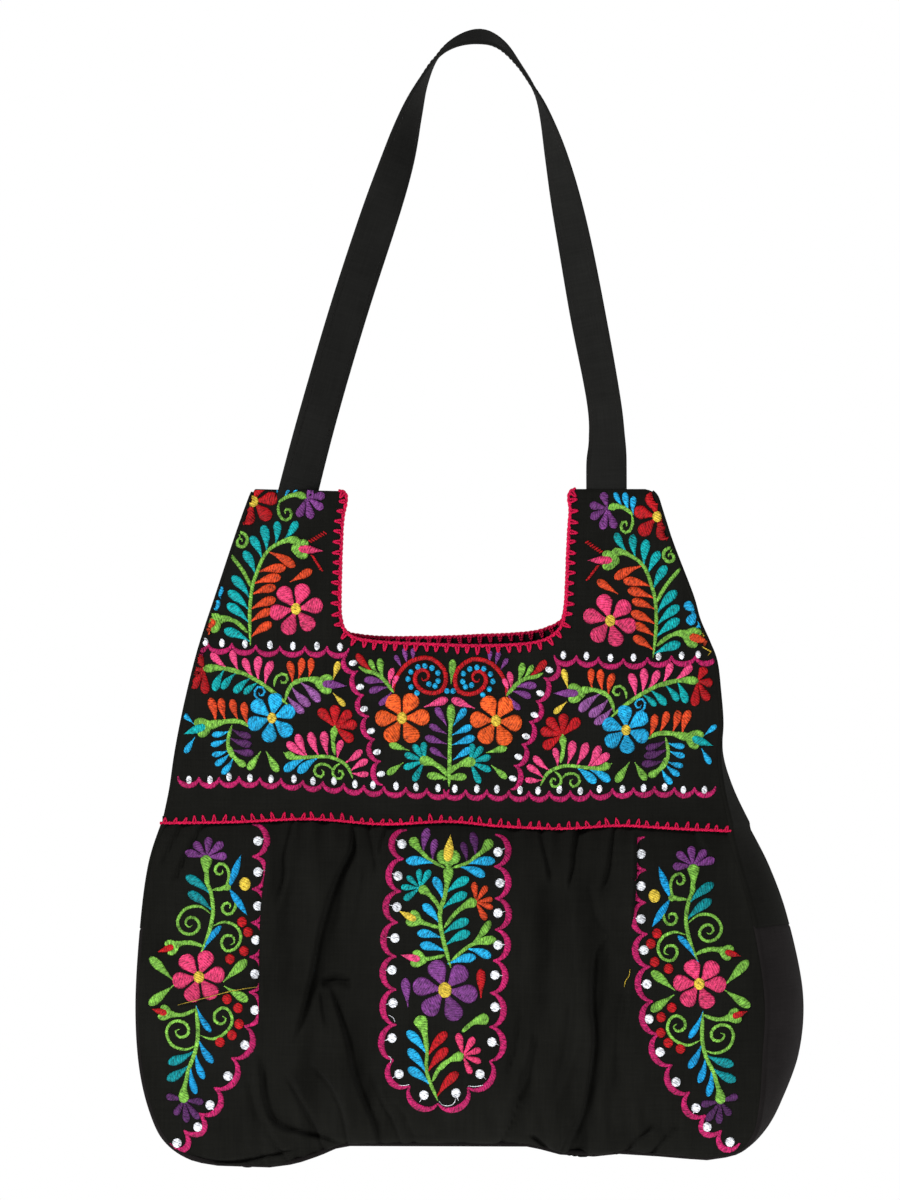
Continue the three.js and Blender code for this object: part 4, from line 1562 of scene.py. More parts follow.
    def leaf(self, colour, base, tip, half=None):
        """A drop-shaped leaf whose tail leaves the nearest stem along it and curves outwards."""
        base, tip = np.asarray(base, float), np.asarray(tip, float)
        away = np.linalg.norm(self.stem_spots - base, axis=1)
        near = away.argmin()
        bow = np.zeros(2)
        reach = tip - base
        if away[near] < STEM_REACH:
            reach = tip - self.stem_spots[near]
            heading = self.stem_headings[near] * np.sign(self.stem_headings[near] @ reach)
            base = self.stem_spots[near] - heading * LEAF_SLIDE * (heading @ unit(reach))
            reach = tip - base
            across = turned(reach)
            bow = across * np.sign(across @ heading) * LEAF_BOW
        length = np.linalg.norm(reach)
        half = half or np.clip(length * LEAF_SHAPE, *LEAF_HALF)
        self.ribbon((base, (base + tip) / 2 + bow, tip), half, colour, drop_profile)

    def line(self, route, half=1.8, colour="green", profile=line_profile, lift=0.0):
        """A stem or scroll."""
        length = path_length(dense_path(np.asarray(route, float)))
        rows = int(np.clip(length / LINE_STEP, *LINE_ROWS))
        self.ribbon(route, half, colour, profile, rows=rows, relief=LINE_RELIEF, lift=lift)

    def twist(self, route, half, colour):
        """A line of short slanting stitches."""
        dense = dense_path(route)
        count = int(path_length(dense) / TWIST_STEP)
        spots = at_lengths(dense, (np.arange(count) + 0.5) / count)
        slant = TWIST_SLANT * half
        for spot in spots:
            self.ribbon((spot - slant, spot, spot + slant), half * TWIST_HALF, colour, round_profile, rows=5)

    def disc(self, centre, radius, colour, stretch=1.0, lift=0.0, relief=1.0):
        """A round or oval dot."""
        x, y = centre
        route = ((x, y - radius * stretch), (x, y), (x, y + radius * stretch))
        self.ribbon(route, radius, colour, round_profile, rows=8, lift=lift, relief=relief)

    def flower(self, colour, centre, radius, first_angle, half, eye):
        """A flower of six petals round a yellow eye."""
        x, y = centre
        for petal in range(PETALS):
            wander = self.rng.uniform(-PETAL_WANDER, PETAL_WANDER)
            angle = math.radians(first_angle + 360 / PETALS * petal + wander)
            heading = np.array((math.cos(angle), math.sin(angle)))
            # Painted light: a petal that points down is darker and one that points up is lighter, with a
            # random tone on top.
            shade = 1.0 - PETAL_PAINTED_LIGHT * math.sin(angle) + self.rng.uniform(-PETAL_TONE, PETAL_TONE)
            reach = self.rng.uniform(*PETAL_REACH)
            route = [(x, y) + heading * radius * share for share in (PETAL_ROOT, PETAL_MIDDLE, reach)]
            self.ribbon(route, half, colour, petal_profile, rows=13, shade=shade, relief=PETAL_RELIEF)
        self.disc(centre, eye, "yellow", EYE_STRETCH, lift=EYE_LIFT, relief=EYE_RELIEF)

    def fan(self, colour, half, base, tips):
        """A half flower of wedge-shaped petals from one base, with a half width or None."""
        base = np.asarray(base, float)
        for tip in tips:
            tip = np.asarray(tip, float)
            width = half or np.clip(np.linalg.norm(tip - base) * FAN_SHAPE, *FAN_HALF)
            self.ribbon((base, (base + tip) / 2, tip), width, colour, fan_profile,
                        shade=self.rng.uniform(*FAN_TONES))

    def bud(self, centre, radius, tip, colour):
        """A green calyx of two lobes that holds a pointed petal."""
        centre, tip = np.asarray(centre, float), np.asarray(tip, float)
        heading = unit(tip - centre)
        side = turned(heading)

        def spots(steps, leaning=1):
            return [centre + (heading * ahead + side * leaning * across) * radius for ahead, across in steps]

        self.ribbon(spots(BUD_CUP), radius * CUP_HALF, "green", round_profile, lift=CUP_LIFT)
        for leaning in (-1, 1):
            self.ribbon(spots(BUD_LOBE, leaning), radius * LOBE_HALF, "green", petal_profile, lift=LOBE_LIFT)
        root = centre - heading * radius * BUD_ROOT
        self.ribbon((root, (centre + tip) / 2, tip), radius * FLAME_HALF, colour, flame_profile,
                    lift=FLAME_LIFT)

    def scallops(self, cusps, away_from, bulge, half):
        """Magenta crescents from cusp to cusp, bulging away from a point."""
        cusps = np.asarray(cusps, float)
        for start, end in zip(cusps[:-1], cusps[1:]):
            middle = (start + end) / 2
            chord = end - start
            out = facing_away(middle, chord, away_from)
            route = [middle - chord / 2 * math.cos(angle) + out * bulge * math.sin(angle)
                     for angle in np.linspace(0, math.pi, SCALLOP_STOPS)]
            self.ribbon(route, half, "magenta", crescent_profile, rows=14, relief=SCALLOP_RELIEF)

    def leaves(self, groups):
        """The leaves of a chart, in groups of one colour."""
        for colour, leaves in groups:
            for base_x, base_y, tip_x, tip_y, *half in leaves:
                self.leaf(colour, (base_x, base_y), (tip_x, tip_y), *half)

    def spray(self, stems, clubs, leaves, fans, buds=()):
        """The green stems of a chart, with what grows on them."""
        for half, route in stems:
            self.line(route, half)
        for half, route in clubs:
            self.line(route, half, profile=club_profile, lift=CLUB_LIFT)
        self.leaves(leaves)
        for fan in fans:
            self.fan(*fan)
        for bud in buds:
            self.bud(*bud)

    def finish(self, name):
        """Adds the motifs as one piece."""
        return add_piece(name, self.strips.mesh(name), "satin_thread")


YOKE_STEMS = (
    # half width, route
    (2.0, ((250.5, 646), (249.8, 612), (252.4, 587), (256.4, 574), (263, 558), (270.5, 548.4), (280, 543.2),
           (290, 541.6), (299, 545))),
    (2.1, ((251.5, 588), (243, 571), (228.5, 552))),
    (1.9, ((231, 546), (232, 539.5), (235.5, 533.8), (241, 532.6), (246, 535.6), (247.2, 541.2), (244.4, 546),
           (239.8, 546.6), (236.8, 543), (238.4, 538.8), (242, 539.4), (242, 542))),
    (2.2, ((248, 633), (235, 621), (218, 619))),
    (2.2, ((278, 502), (292, 495), (307, 498))),
    (1.7, ((280.5, 501.6), (278.6, 505), (278.2, 510), (279.2, 514.5), (282, 518.8), (285.4, 520.2),
           (289.4, 519), (291.5, 515.4), (291.2, 511.4), (289, 509.4), (285.8, 509.4), (284.8, 511.8),
           (285.6, 514))),
    (2.2, ((203, 668.8), (221, 668), (240, 672), (261, 683), (278, 696), (289, 706))),
    (1.6, ((274.2, 687), (274.4, 683), (275.4, 679.2), (277.5, 676), (280.8, 674), (284.4, 674), (287.2, 676),
           (287.9, 679), (286.6, 681.8), (283.6, 683), (280.8, 682.2), (281.4, 679.8))),
    (2.2, ((285, 701), (289, 689), (297, 681), (313, 679), (323, 682))),
    (2.2, ((335, 725), (333, 741), (335, 755))),
    (2.0, ((283, 752), (292, 757), (311, 757), (330, 757), (346, 765), (353, 779))),
    (1.6, ((332.4, 770.6), (329.8, 766.6), (325.4, 764.4), (321, 764), (316.8, 765.6), (314.4, 769),
           (314.8, 773), (317.4, 776), (321, 777), (323.4, 774.6), (323.4, 771), (321, 769.6))),
    (1.6, ((340.6, 763.4), (336.5, 765.6), (333.6, 768.8), (332.5, 772.4), (333.6, 775.8), (336.2, 778.6),
           (339.6, 779), (342.4, 777), (343.2, 773.6), (341.2, 770.4), (338.4, 771), (339, 773.4))),
    (2.4, ((205, 726), (221, 722), (238, 721), (250, 727))),
    (2.0, ((232, 725), (228, 741), (231, 755), (245, 765))),
    (2.3, ((358.5, 666.5), (366, 671), (376, 673.5), (385, 681), (394, 693))),
    (2.0, ((424, 761), (437, 764.5), (444, 769.5), (448.5, 777))),
)

YOKE_CLUBS = (
    # half width, route from the thick end
    (4.2, ((306, 497), (294, 494), (282, 500))),
    (4.6, ((300, 541), (286, 540), (270, 548))),
    (4.6, ((214, 621), (230, 619), (246, 631))),
    (4.6, ((203, 669), (220, 668), (242, 674))),
    (4.6, ((322, 682), (308, 679), (294, 684))),
    (4.4, ((285, 753), (297, 758), (315, 757))),
    (4.8, ((208, 726), (224, 722), (242, 722))),
    (4.4, ((335, 727), (333, 741), (335, 753))),
    (4.2, ((246, 766), (236, 759), (230, 746))),
    (5.8, ((419, 759.4), (434, 763.4), (447, 775))),
)

YOKE_LEAVES = (
    # colour, leaves with base x, base y, tip x, tip y
    ("blue", ((281, 501, 279, 483), (287, 497, 290, 480), (294, 495, 301, 481))),
    ("teal", ((267, 548, 263, 525), (276, 541, 277, 521), (287, 537, 297, 521), (263, 556, 251, 536),
              (256, 571, 244, 551), (250, 595, 232, 576), (248, 608, 228, 591), (247, 621, 227, 604),
              (247, 639, 224, 630))),
    ("orange", ((271, 553, 295, 567), (262, 571, 286, 568), (258, 583, 281, 577), (256, 594, 276, 587),
                (253, 607, 276, 599), (252, 621, 272, 610), (252, 635, 272, 623), (290, 582, 312, 570))),
    ("rose", ((224, 666, 211, 653), (238, 667, 232, 650), (251, 674, 244, 658), (258, 678, 259, 656),
              (266, 680, 272, 661))),
    ("teal", ((222, 674, 214, 691), (234, 675, 222, 689), (248, 679, 234, 693), (256, 683, 244, 694))),
    ("yellow", ((333, 680, 339, 661), (333, 693, 345, 706))),
    ("orange", ((293, 681, 289, 661), (300, 679, 302, 658), (309, 678, 311, 658))),
    ("lilac", ((289, 698, 304, 713), (294, 689, 310, 706), (304, 687, 320, 702))),
    ("rose", ((303, 754, 287, 742), (306, 754, 297, 734), (317, 753, 310, 732), (327, 754, 324, 731),
              (338, 757, 342, 740), (346, 763, 362, 750), (351, 770, 368, 760), (356, 773, 369, 774))),
    ("blue", ((302, 760, 284, 771), (315, 759, 298, 773), (194, 724, 182, 713), (195, 737, 185, 753))),
    ("orange", ((215, 718, 210, 698), (225, 718, 221, 698), (237, 719, 232, 699), (247, 721, 244, 702))),
    ("plum", ((234, 730, 251, 737), (232, 739, 252, 745), (233, 752, 254, 753))),
    ("blue", ((228, 732, 212, 735), (228, 741, 211, 745), (227, 751, 212, 755), (228, 755, 215, 765),
              (231, 761, 222, 774))),
    ("green", ((261, 751, 248, 770), (266, 751, 278, 772), (375, 671, 369.5, 659.5),
               (383.4, 673, 379.8, 658))),
    ("purple", ((383, 681, 364, 680), (386, 688, 369, 692), (390, 694, 379, 705))),
    ("rose", ((388, 683, 393, 668), (391, 688, 398, 675))),
    ("purple", ((402, 668, 395, 655), (407, 664, 404, 648), (413, 661, 413, 648))),
    ("rose", ((424, 707, 448, 699), )),
)

# Leaves left of the middle stem, drawn with the left half only.
MIDDLE_LEFT_LEAVES = (
    ("purple", ((447, 726, 436, 707), (447, 734, 429, 725), (447, 744, 425, 737), (447, 759, 430, 748))),
)

FOOT_LEAVES = (
    ("green", ((409.5, 750.5, 389, 744), (403.5, 762.5, 387, 774.5), (447.5, 778.5, 427, 775.5))),
)

YOKE_FANS = (
    # colour, half width, base, petal tips
    ("purple", 4.8, (307, 497.5), ((313, 482), (325, 495.5), (323, 509), (311, 519), (298, 517))),
    ("red", 5.2, (204, 669), ((197.5, 655), (189, 671), (192, 688.5), (205.5, 694))),
    ("red", 5.8, (335, 727), ((319, 709), (335, 705), (351, 711), (357, 724), (353, 741))),
    ("teal", 3.9, (424.5, 761), ((413.4, 744.4), (423.6, 742), (404.6, 754), (403.4, 768), (413.4, 781.4))),
)

YOKE_BUDS = (
    # centre, radius, tip, colour of the tip
    ((301, 549), 10, (323, 551), "pink"),
    ((325, 684), 10, (347, 686), "purple"),
    ((203, 727), 10, (184, 734), "teal"),
)

YOKE_FLOWERS = (
    # colour, centre, radius, first angle, half width of a petal, radius of the eye
    ("red", (253.6, 501.4), 25, -10, 7.3, 5.0),
    ("pink", (296, 609), 27, -68, 8.5, 5.4),
    ("blue", (272, 718), 25, -80, 8.0, 5.0),
    ("tangerine", (402, 718), 27, -120, 8.9, 5.4),
)
RED_LEAF = ("red", (369.6, 670), (356.6, 653.8), 4.3)

# Motifs at the yoke's two edges and on its middle line, which aren't mirrored.
EDGE_BUDS = (
    # centre, radius, tip, colour of the tip
    ((212.5, 622), 10.5, (203, 631), "orange"),
    ((692, 637), 10.5, (709, 642.5), "orange"),
)
EDGE_PETALS = (
    # colour, half width, profile, route
    ("blue", 2.8, round_profile, ((222, 586.4), (220.4, 591.4), (218.8, 596.4))),
    ("blue", 3.2, round_profile, ((219, 600), (217, 605), (215, 610))),
    ("blue", 5.2, petal_profile, ((696.4, 612), (690.5, 607.4), (685.2, 602.4))),
    ("blue", 5.4, petal_profile, ((697.4, 612.6), (692.6, 617.6), (689, 624.6))),
    ("blue", 0.9, spindle_profile, ((697.6, 621), (699, 624.6), (700.6, 628.4))),
    ("yellow", 1.4, round_profile, ((703, 633), (703.6, 634.6), (704.2, 636.2))),
)
EDGE_ANTENNA = ((702.5, 646.8), (707, 649.4), (711.6, 652))
EDGE_ANTENNA_HALF = 1.2
MIDDLE_STEM = ((449, 787), (450, 740), (451, 712))
MIDDLE_STEM_HALF = 2.2
MIDDLE_CUP = ((451, 732), (451, 718), (451, 704))
MIDDLE_CUP_HALF = 4.6
MIDDLE_CUP_LIFT = 0.1
TOP_LEAF = ("green", (451, 684), (453, 659), 4.0)
MIDDLE_RIGHT_LEAVES = (
    ("blue", ((453, 726, 466, 708), (452, 735, 472, 726), (452, 745, 475, 737), (453, 760, 471, 748))),
)

UPPER_DOTS = ((205.5, 642), (222, 643), (245, 644), (270, 645), (293, 646), (317, 646), (340, 647))
UPPER_CUSPS = ((187, 642), (208, 643), (232, 643), (256, 645), (280, 646), (305, 646), (327, 646),
               (349, 648))
LOWER_DOTS = ((189, 780), (210, 780), (229, 777), (250, 778), (271, 779), (294, 779), (313, 781),
              (334, 781), (355, 784), (373, 785), (396, 786), (416, 787), (438, 788))
LOWER_CUSPS = ((178, 776), (199, 777), (219, 777), (239, 776), (260, 777), (281, 778), (303, 780),
               (323, 781), (344, 783), (364, 785), (384, 786), (406, 787), (427, 788), (449, 789))
UPRIGHT_DOTS = ((353, 663), (360, 687), (364, 709), (371, 731), (377, 752), (381, 774))
UPRIGHT_CUSPS = ((347, 655), (358, 671), (364, 695), (369, 716), (375, 739), (381, 761), (383, 785))
YOKE_SCALLOPS = (
    # cusps, point that the crescents bulge away from
    (UPPER_CUSPS, (270, 500)),
    (LOWER_CUSPS, (300, 600)),
    (UPRIGHT_CUSPS, (450, 720)),
)
YOKE_BULGE = 9
YOKE_SCALLOP_HALF = 3.1
YOKE_DOT = 3.0
YOKE_DOT_STRETCH = 1.42
UPRIGHT_DOT = 3.2
UPRIGHT_DOT_STEP = np.array((4, -1))
BLUE_CURL = ((263.5, 700.5), (257.5, 698.6), (254.4, 693), (257.6, 687), (263.4, 688), (264.6, 693.4),
             (260.6, 696), (258.6, 692.6))

RED_SPIRAL = ((394, 693), (396, 678), (410, 662), (429, 658), (443, 668), (446, 680), (441, 691),
              (429, 693), (419, 688), (414.8, 679.4), (417.4, 672), (423.6, 669.6), (428.4, 673.4),
              (427.6, 679), (423, 680.4), (421.6, 676.8))
BLUE_BEADS = ((418, 667), (425, 666), (432, 668), (438, 673), (438, 681), (435, 686), (429, 684),
              (411, 672), (408, 679), (411, 687), (417, 693), (447, 691))
ANTENNAE = (((309, 542), (318, 537), (326, 532)), ((312, 555), (317, 563), (322, 571)))
CURL_HALF = 1.3
SPIRAL_HALF = 2.4
BEAD_RADIUS = 2.9
BEAD_LIFT = 0.15
ANTENNA_HALF = 1.8

# How the right half of the yoke differs from a mirror image of the left one, in pixels.
YOKE_DROPS = (
    # row, drop
    (500, 17), (555, 14.5), (615, 15), (645, 12.2), (670, 12.2), (725, 12), (790, 9.6),
)
YOKE_PULLS = (
    # row, pull inwards
    (500, 3.6), (522, 3.2), (545, 0),
)
PULL_COLUMN = 300
PULL_SOFT = 30
FLOWER_COLUMN = 403
FLOWER_DROP = 2.6
DROP_SLOPE = 0.085
MIRROR_SHIFT = 14.4
MIRROR_LEAN = 0.075
MIRROR_TOP = 500


def yoke_mirror(route):
    """The right half of the yoke, where the cloth hangs a little lower and further in."""
    x, y = route[:, 0], route[:, 1]
    middle = FRAME_WIDTH / 2
    outer = np.minimum(FLOWER_DROP + np.maximum(0, FLOWER_COLUMN - x) * DROP_SLOPE, look_up(YOKE_DROPS, y))
    inner = FLOWER_DROP * (middle - x) / (middle - FLOWER_COLUMN)
    pull = look_up(YOKE_PULLS, y) * smoothstep(PULL_COLUMN - x, 0, PULL_SOFT)
    across = FRAME_WIDTH - x + MIRROR_SHIFT - MIRROR_LEAN * (y - MIRROR_TOP) - pull
    return np.column_stack([across, y + np.where(x > FLOWER_COLUMN, inner, outer)])


SEAM_MARGIN = -0.7
SHOULDER_MARGIN = 1.2


def shows_on_yoke(pixels):
    """Whether stitches lie inside the yoke's side seams and under its shoulders."""
    px, py = pixels[:, 0], pixels[:, 1]
    left, right, *_ = yoke_values(py)
    below = py > YOKE_ROWS[0][0] + SHOULDER_MARGIN
    return below & (px > left + SEAM_MARGIN) & (px < right - SEAM_MARGIN)


class BAG_OT_embroider_yoke(bpy.types.Operator):
    """Embroider the front yoke."""
    bl_idname = "bag.embroider_yoke"
    bl_label = "Embroider the yoke"

    def execute(self, context):
        work = Embroidery("front_yoke_cloth", shows_on_yoke, YOKE_STEMS + YOKE_CLUBS)
        for mirror in (None, yoke_mirror):
            work.mirror = mirror
            self.half(work)
        work.mirror = None
        for bud in EDGE_BUDS:
            work.bud(*bud)
        for colour, half, profile, route in EDGE_PETALS:
            work.ribbon(route, half, colour, profile)
        work.twist(EDGE_ANTENNA, EDGE_ANTENNA_HALF, "yellow")
        work.line(MIDDLE_STEM, MIDDLE_STEM_HALF)
        work.ribbon(MIDDLE_CUP, MIDDLE_CUP_HALF, "green", petal_profile, lift=MIDDLE_CUP_LIFT)
        work.leaf(*TOP_LEAF)
        work.leaves(MIDDLE_RIGHT_LEAVES)
        work.finish("yoke_embroidery")
        return {"FINISHED"}

    def half(self, work):
        """One half of the yoke's chart."""
        middle = () if work.mirror else MIDDLE_LEFT_LEAVES
        work.spray(YOKE_STEMS, YOKE_CLUBS, YOKE_LEAVES + middle + FOOT_LEAVES, YOKE_FANS, YOKE_BUDS)
        work.leaf(*RED_LEAF)
        for flower in YOKE_FLOWERS:
            work.flower(*flower)
        work.line(BLUE_CURL, CURL_HALF, "blue")
        work.line(RED_SPIRAL, SPIRAL_HALF, "red")
        for bead in BLUE_BEADS:
            work.disc(bead, BEAD_RADIUS, "blue", lift=BEAD_LIFT)
        for route in ANTENNAE:
            work.twist(route, ANTENNA_HALF, "red")
        for cusps, away_from in YOKE_SCALLOPS:
            work.scallops(cusps, away_from, YOKE_BULGE, YOKE_SCALLOP_HALF)
        for dot in UPPER_DOTS + LOWER_DOTS:
            work.disc(dot, YOKE_DOT, "white", YOKE_DOT_STRETCH)
        for dot in UPRIGHT_DOTS:
            route = (dot - UPRIGHT_DOT_STEP, dot, dot + UPRIGHT_DOT_STEP)
            work.ribbon(route, UPRIGHT_DOT, "white", round_profile)


CENTRE_DOTS = ((402, 844), (398, 876), (397, 907), (395, 938), (392, 970), (393, 1003), (392, 1038),
               (399, 1074), (424, 1095), (456, 1093), (480, 1074), (492, 1042), (495, 1007),
               (495, 975), (498, 945), (498, 913), (500, 883), (498, 852))
CENTRE_CUSPS = ((407, 830), (404, 859), (401, 891.5), (398, 922.5), (396.5, 956.5), (396.5, 989.5),
                (396.5, 1025), (393.5, 1060), (410, 1085.5), (438, 1103.5), (467.5, 1087.5), (489.5, 1061),
                (489.5, 1027), (490, 993), (493, 960.5), (495, 929.5), (495, 898.5), (494, 866.5),
                (495, 834.5))
CENTRE_MIDDLE = (446, 960)
CENTRE_BULGE = 14
LEFT_DOTS = ((258, 841), (258, 872), (258, 906), (256, 940), (255, 974), (255, 1010), (245, 1045),
             (228, 1076), (210, 1105), (198, 1127), (177, 1143))
RIGHT_DOTS = ((641, 854), (641, 886), (641, 919), (644, 950), (647, 984), (649, 1019), (660, 1052),
              (676, 1082), (696, 1108), (707, 1127), (730, 1142))
SIDE_BORDERS = (
    # dots, first cusp, last cusp, middle, inset of the cusps, bulge
    (LEFT_DOTS, (252, 824), (168, 1144), (180, 950), 6.0, 15),
    (RIGHT_DOTS, (645, 837), (740, 1143), (715, 960), 5.0, 14),
)
SCALLOP_HALF = 3.6
DOT_RADIUS = 5.0
DOT_STRETCH = 0.95
DOT_TAIL = 8.0
DOT_TAIL_HALF = 0.55
DOT_TAIL_LEVEL = (1, 0.25)

CENTRE_STEMS = (
    # half width, route
    (2.4, ((449, 869), (445, 895), (440, 913), (442, 934), (451, 968))),
    (1.9, ((445, 868), (426, 857), (415, 844))),
    (1.9, ((452, 868), (471, 861), (487, 846))),
    (2.2, ((422, 888), (435, 900), (440, 911))),
    (2.2, ((476, 902), (458, 911), (444, 928))),
    (2.0, ((440, 928), (430, 925), (418, 921))),
    (2.0, ((451, 961), (471, 945), (490, 940))),
    (2.0, ((445, 955), (434, 958), (422, 959))),
    (2.0, ((424, 1036), (427, 1051), (427, 1073), (438, 1101))),
    (2.2, ((432, 1082), (443, 1064), (463, 1056))),
)

CENTRE_CLUBS = (
    # half width, route from the thick end
    (5.6, ((449, 866), (447, 884), (443, 905))),
    (5.9, ((411.4, 837.6), (418, 848), (428, 858))),
    (5.7, ((491.4, 839.6), (483.4, 850.6), (471, 860))),
    (5.6, ((419, 887), (428, 893), (437, 904))),
    (5.6, ((477, 901), (464, 906), (452, 916))),
    (4.2, ((414, 919), (424, 923), (438, 928))),
    (4.2, ((416, 959), (428, 959), (442, 956))),
    (7.4, ((418, 1016), (424, 1030), (427, 1050))),
    (5.4, ((464, 1055), (450, 1060), (440, 1070))),
    (6.2, ((489, 1018), (474, 1022), (462, 1032))),
)

CENTRE_LEAVES = (
    # colour, leaves with base x, base y, tip x, tip y, half width where it differs
    ("purple", ((423, 850, 428, 828), (431, 860, 436, 839))),
    ("plum", ((467, 862, 462, 842), (478, 856, 472, 832))),
    ("blue", ((429, 866, 406, 861), (471, 865, 495, 861), (464, 869, 485, 876), (443, 897, 434, 877))),
    ("teal", ((450, 891, 469, 878), (446, 907, 467, 893), (445, 933, 469, 920), (446, 945, 470, 932))),
    ("blue", ((439, 920, 423, 904), (440, 937, 417, 933), (443, 950, 420, 945))),
    ("green", ((475, 940, 490.4, 920.8, 4.3), (473, 942.6, 496.4, 939.4, 5.0))),
    ("blue", ((470, 948, 491, 957), (454, 963, 476, 957))),
    ("purple", ((408, 1007, 405, 978), )),
    ("red", ((481, 998, 481, 969), )),
    ("blue", ((424, 1051, 407, 1031), (425, 1069, 408, 1049), (427, 1083, 408, 1068))),
    ("red", ((428, 1053, 447, 1032), (430, 1069, 448, 1048), (438, 1094, 458, 1072))),
)

CENTRE_FANS = (
    # colour, half width (none follows the petal's length), base, petal tips
    ("teal", None, (420, 888), ((419, 869), (430, 870), (407, 876), (401, 887), (404, 900))),
    ("orange", None, (476, 902), ((474, 882), (487, 886), (493, 899), (493, 908), (486, 920))),
    ("pink", None, (463, 1056), ((458, 1033), (474, 1037), (481, 1049), (481, 1062), (471, 1074))),
)

CENTRE_CUPS = ((443, 857), (454, 857), (448.5, 860))
CENTRE_CUP_RADIUS = 6.8
CENTRE_CUP_STRETCH = 1.05
CENTRE_FLAME = ((447, 862), (449, 850), (450.5, 835))
CENTRE_FLAME_HALF = 5.8
CENTRE_FLAME_LIFT = 0.5
CENTRE_BUDS = (
    # centre, radius, tip, colour of the tip
    ((414, 919), 8.6, (399, 911), "yellow"),
    ((418, 959), 8.8, (401, 955), "rose"),
)
CENTRE_FLOWER = ("purple", (445, 990), 32, -110, 10.0, 7.2)

SIDE_STEMS = (
    # half width, route
    (2.2, ((207, 868), (206, 880), (211, 893), (213, 913), (208, 936), (201, 953))),
    (1.7, ((211, 890), (224, 888.5), (229, 878), (227, 867), (220, 863.5), (215, 869), (218, 874.5),
           (222.5, 873), (222.5, 869.5))),
    (1.7, ((230, 891), (236, 902), (232.5, 912.5), (225.5, 914), (222, 908), (225.5, 903), (230.5, 904.5),
           (229.5, 908.5))),
    (1.7, ((211, 914), (200, 906.5), (185.5, 909), (177.5, 921), (182, 932), (192.5, 934), (199.5, 927),
           (196.5, 919), (189, 917.5), (185.5, 923), (189, 927), (192.5, 925))),
    (1.7, ((213, 926), (224, 922), (236, 926), (241, 937), (236, 948), (226.5, 951), (221.5, 944),
           (224, 936.5), (232, 936), (234.5, 942), (230, 945))),
    (2.0, ((204, 947), (190, 942), (176, 944))),
    (2.2, ((196, 1006), (198, 1033), (195, 1052), (188, 1071), (185, 1085))),
    (2.0, ((196, 1009), (183, 1015), (170, 1014))),
    (1.7, ((200, 1035), (212, 1039), (224, 1034), (232, 1023), (230, 1012), (223, 1007.5), (215, 1013),
           (215, 1021), (222, 1024), (226, 1019), (222, 1016))),
    (1.7, ((196.5, 1045), (185.5, 1049.5), (172, 1045), (166.5, 1032.5), (171, 1023), (180.5, 1021),
           (188, 1026.5), (187.5, 1035), (179.5, 1037), (175.5, 1031.5), (180, 1029))),
)

SIDE_CLUBS = (
    # half width, route from the thick end
    (6.4, ((207, 855), (206, 868), (208, 886))),
    (4.0, ((231, 887), (222, 888), (213, 890))),
    (4.0, ((172, 946), (184, 943), (198, 945))),
    (4.0, ((166, 1013), (178, 1015), (190, 1012))),
    (5.8, ((184, 1103), (184, 1090), (189, 1070))),
)

SIDE_LEAVES = (
    # colour, leaves with base x, base y, tip x, tip y, half width where it differs
    ("sea", ((208, 892, 186, 876), (210, 908, 188, 892))),
    ("azure", ((205, 951, 221, 926, 3.5), )),
    ("green", ((174, 981, 150, 957), (174, 985, 149, 1005), (223, 982, 247, 960), (224, 986, 248, 1001))),
    ("azure", ((199, 1010, 211, 1032, 3.5), )),
    ("sea", ((192, 1053, 168, 1063), (188, 1068, 167, 1080))),
    ("azure", ((200, 1042, 213, 1063, 4.2), (197, 1057, 204, 1079, 4), (190, 1070, 196, 1094, 4))),
)

SIDE_FANS = (
    # colour, half width, base, petal tips
    ("purple", 4.7, (207, 857), ((185, 852), (194, 842), (209, 837), (223, 842), (227, 856))),
    ("plum", 4.1, (184, 1100), ((166, 1096), (175, 1115), (187, 1122.5), (199, 1119), (203.5, 1102))),
)

SIDE_BUDS = (
    # centre, radius, tip, colour of the tip
    ((172, 947), 8, (158, 952), "red"),
    ((165, 1013), 8, (152, 1009), "red"),
)

SIDE_BERRIES = ((242, 922), (248, 932), (244, 951), (230, 959), (227, 999), (238, 1008), (239, 1024),
                (232, 1035), (220, 1042))
SIDE_BERRY_RADIUS = 5.2
SIDE_FLOWER = ("pink", (199, 977), 27, -128, 8.9, 5.6)
YELLOW_BERRY = (245, 884)
YELLOW_BERRY_RADIUS = 6.2
YELLOW_BERRY_STRETCH = 1.1
WING_BASE = (229, 888)
WING_TIPS = ((241, 855), (247, 915))
WING_HALF = 4.0

LOOSE_THREADS = (
    # colour, shade, lift in millimetres, route
    ("yellow", 0.6, 1.2, ((178, 1005), (205, 998), (232, 991), (259, 986.5))),
    ("yellow", 0.8, 0.2, ((630, 969), (629, 976), (625.5, 981), (624.5, 987))),
    ("white", 0.8, 0.1, ((388.5, 1015), (393, 1017.5), (395, 1022))),
    ("white", 0.8, 0.1, ((388, 1056), (391, 1058), (390.5, 1063))),
    ("white", 0.8, 0.1, ((398, 1085), (404, 1085.5), (409, 1084.5))),
    ("white", 0.8, 0.1, ((439, 1101), (443, 1105), (450, 1105.5), (454, 1103), (456, 1098))),
    ("white", 0.8, 0.1, ((468, 1086), (476, 1086.5), (483, 1085))),
)
LOOSE_THREAD_HALF = 0.4

# How the right panel differs from a mirror image of the left one, in pixels.
PANEL_SHIFTS = (
    # row, shift
    (840, 0), (985, -1.8), (1050, 0.8), (1110, 5), (1143, 7),
)
PANEL_DROPS = (
    # row, drop
    (840, 13), (906, 13), (985, 11.4), (1050, 9.5), (1105, 7),
)
PANEL_EDGE = 258
PANEL_SLOPE = 0.08


def pouch_mirror(route):
    """The right panel of the pouch."""
    x, y = route[:, 0], route[:, 1]
    drop = look_up(PANEL_DROPS, y) - (PANEL_EDGE - x) * PANEL_SLOPE
    return np.column_stack([FRAME_WIDTH - x + look_up(PANEL_SHIFTS, y), y + drop])


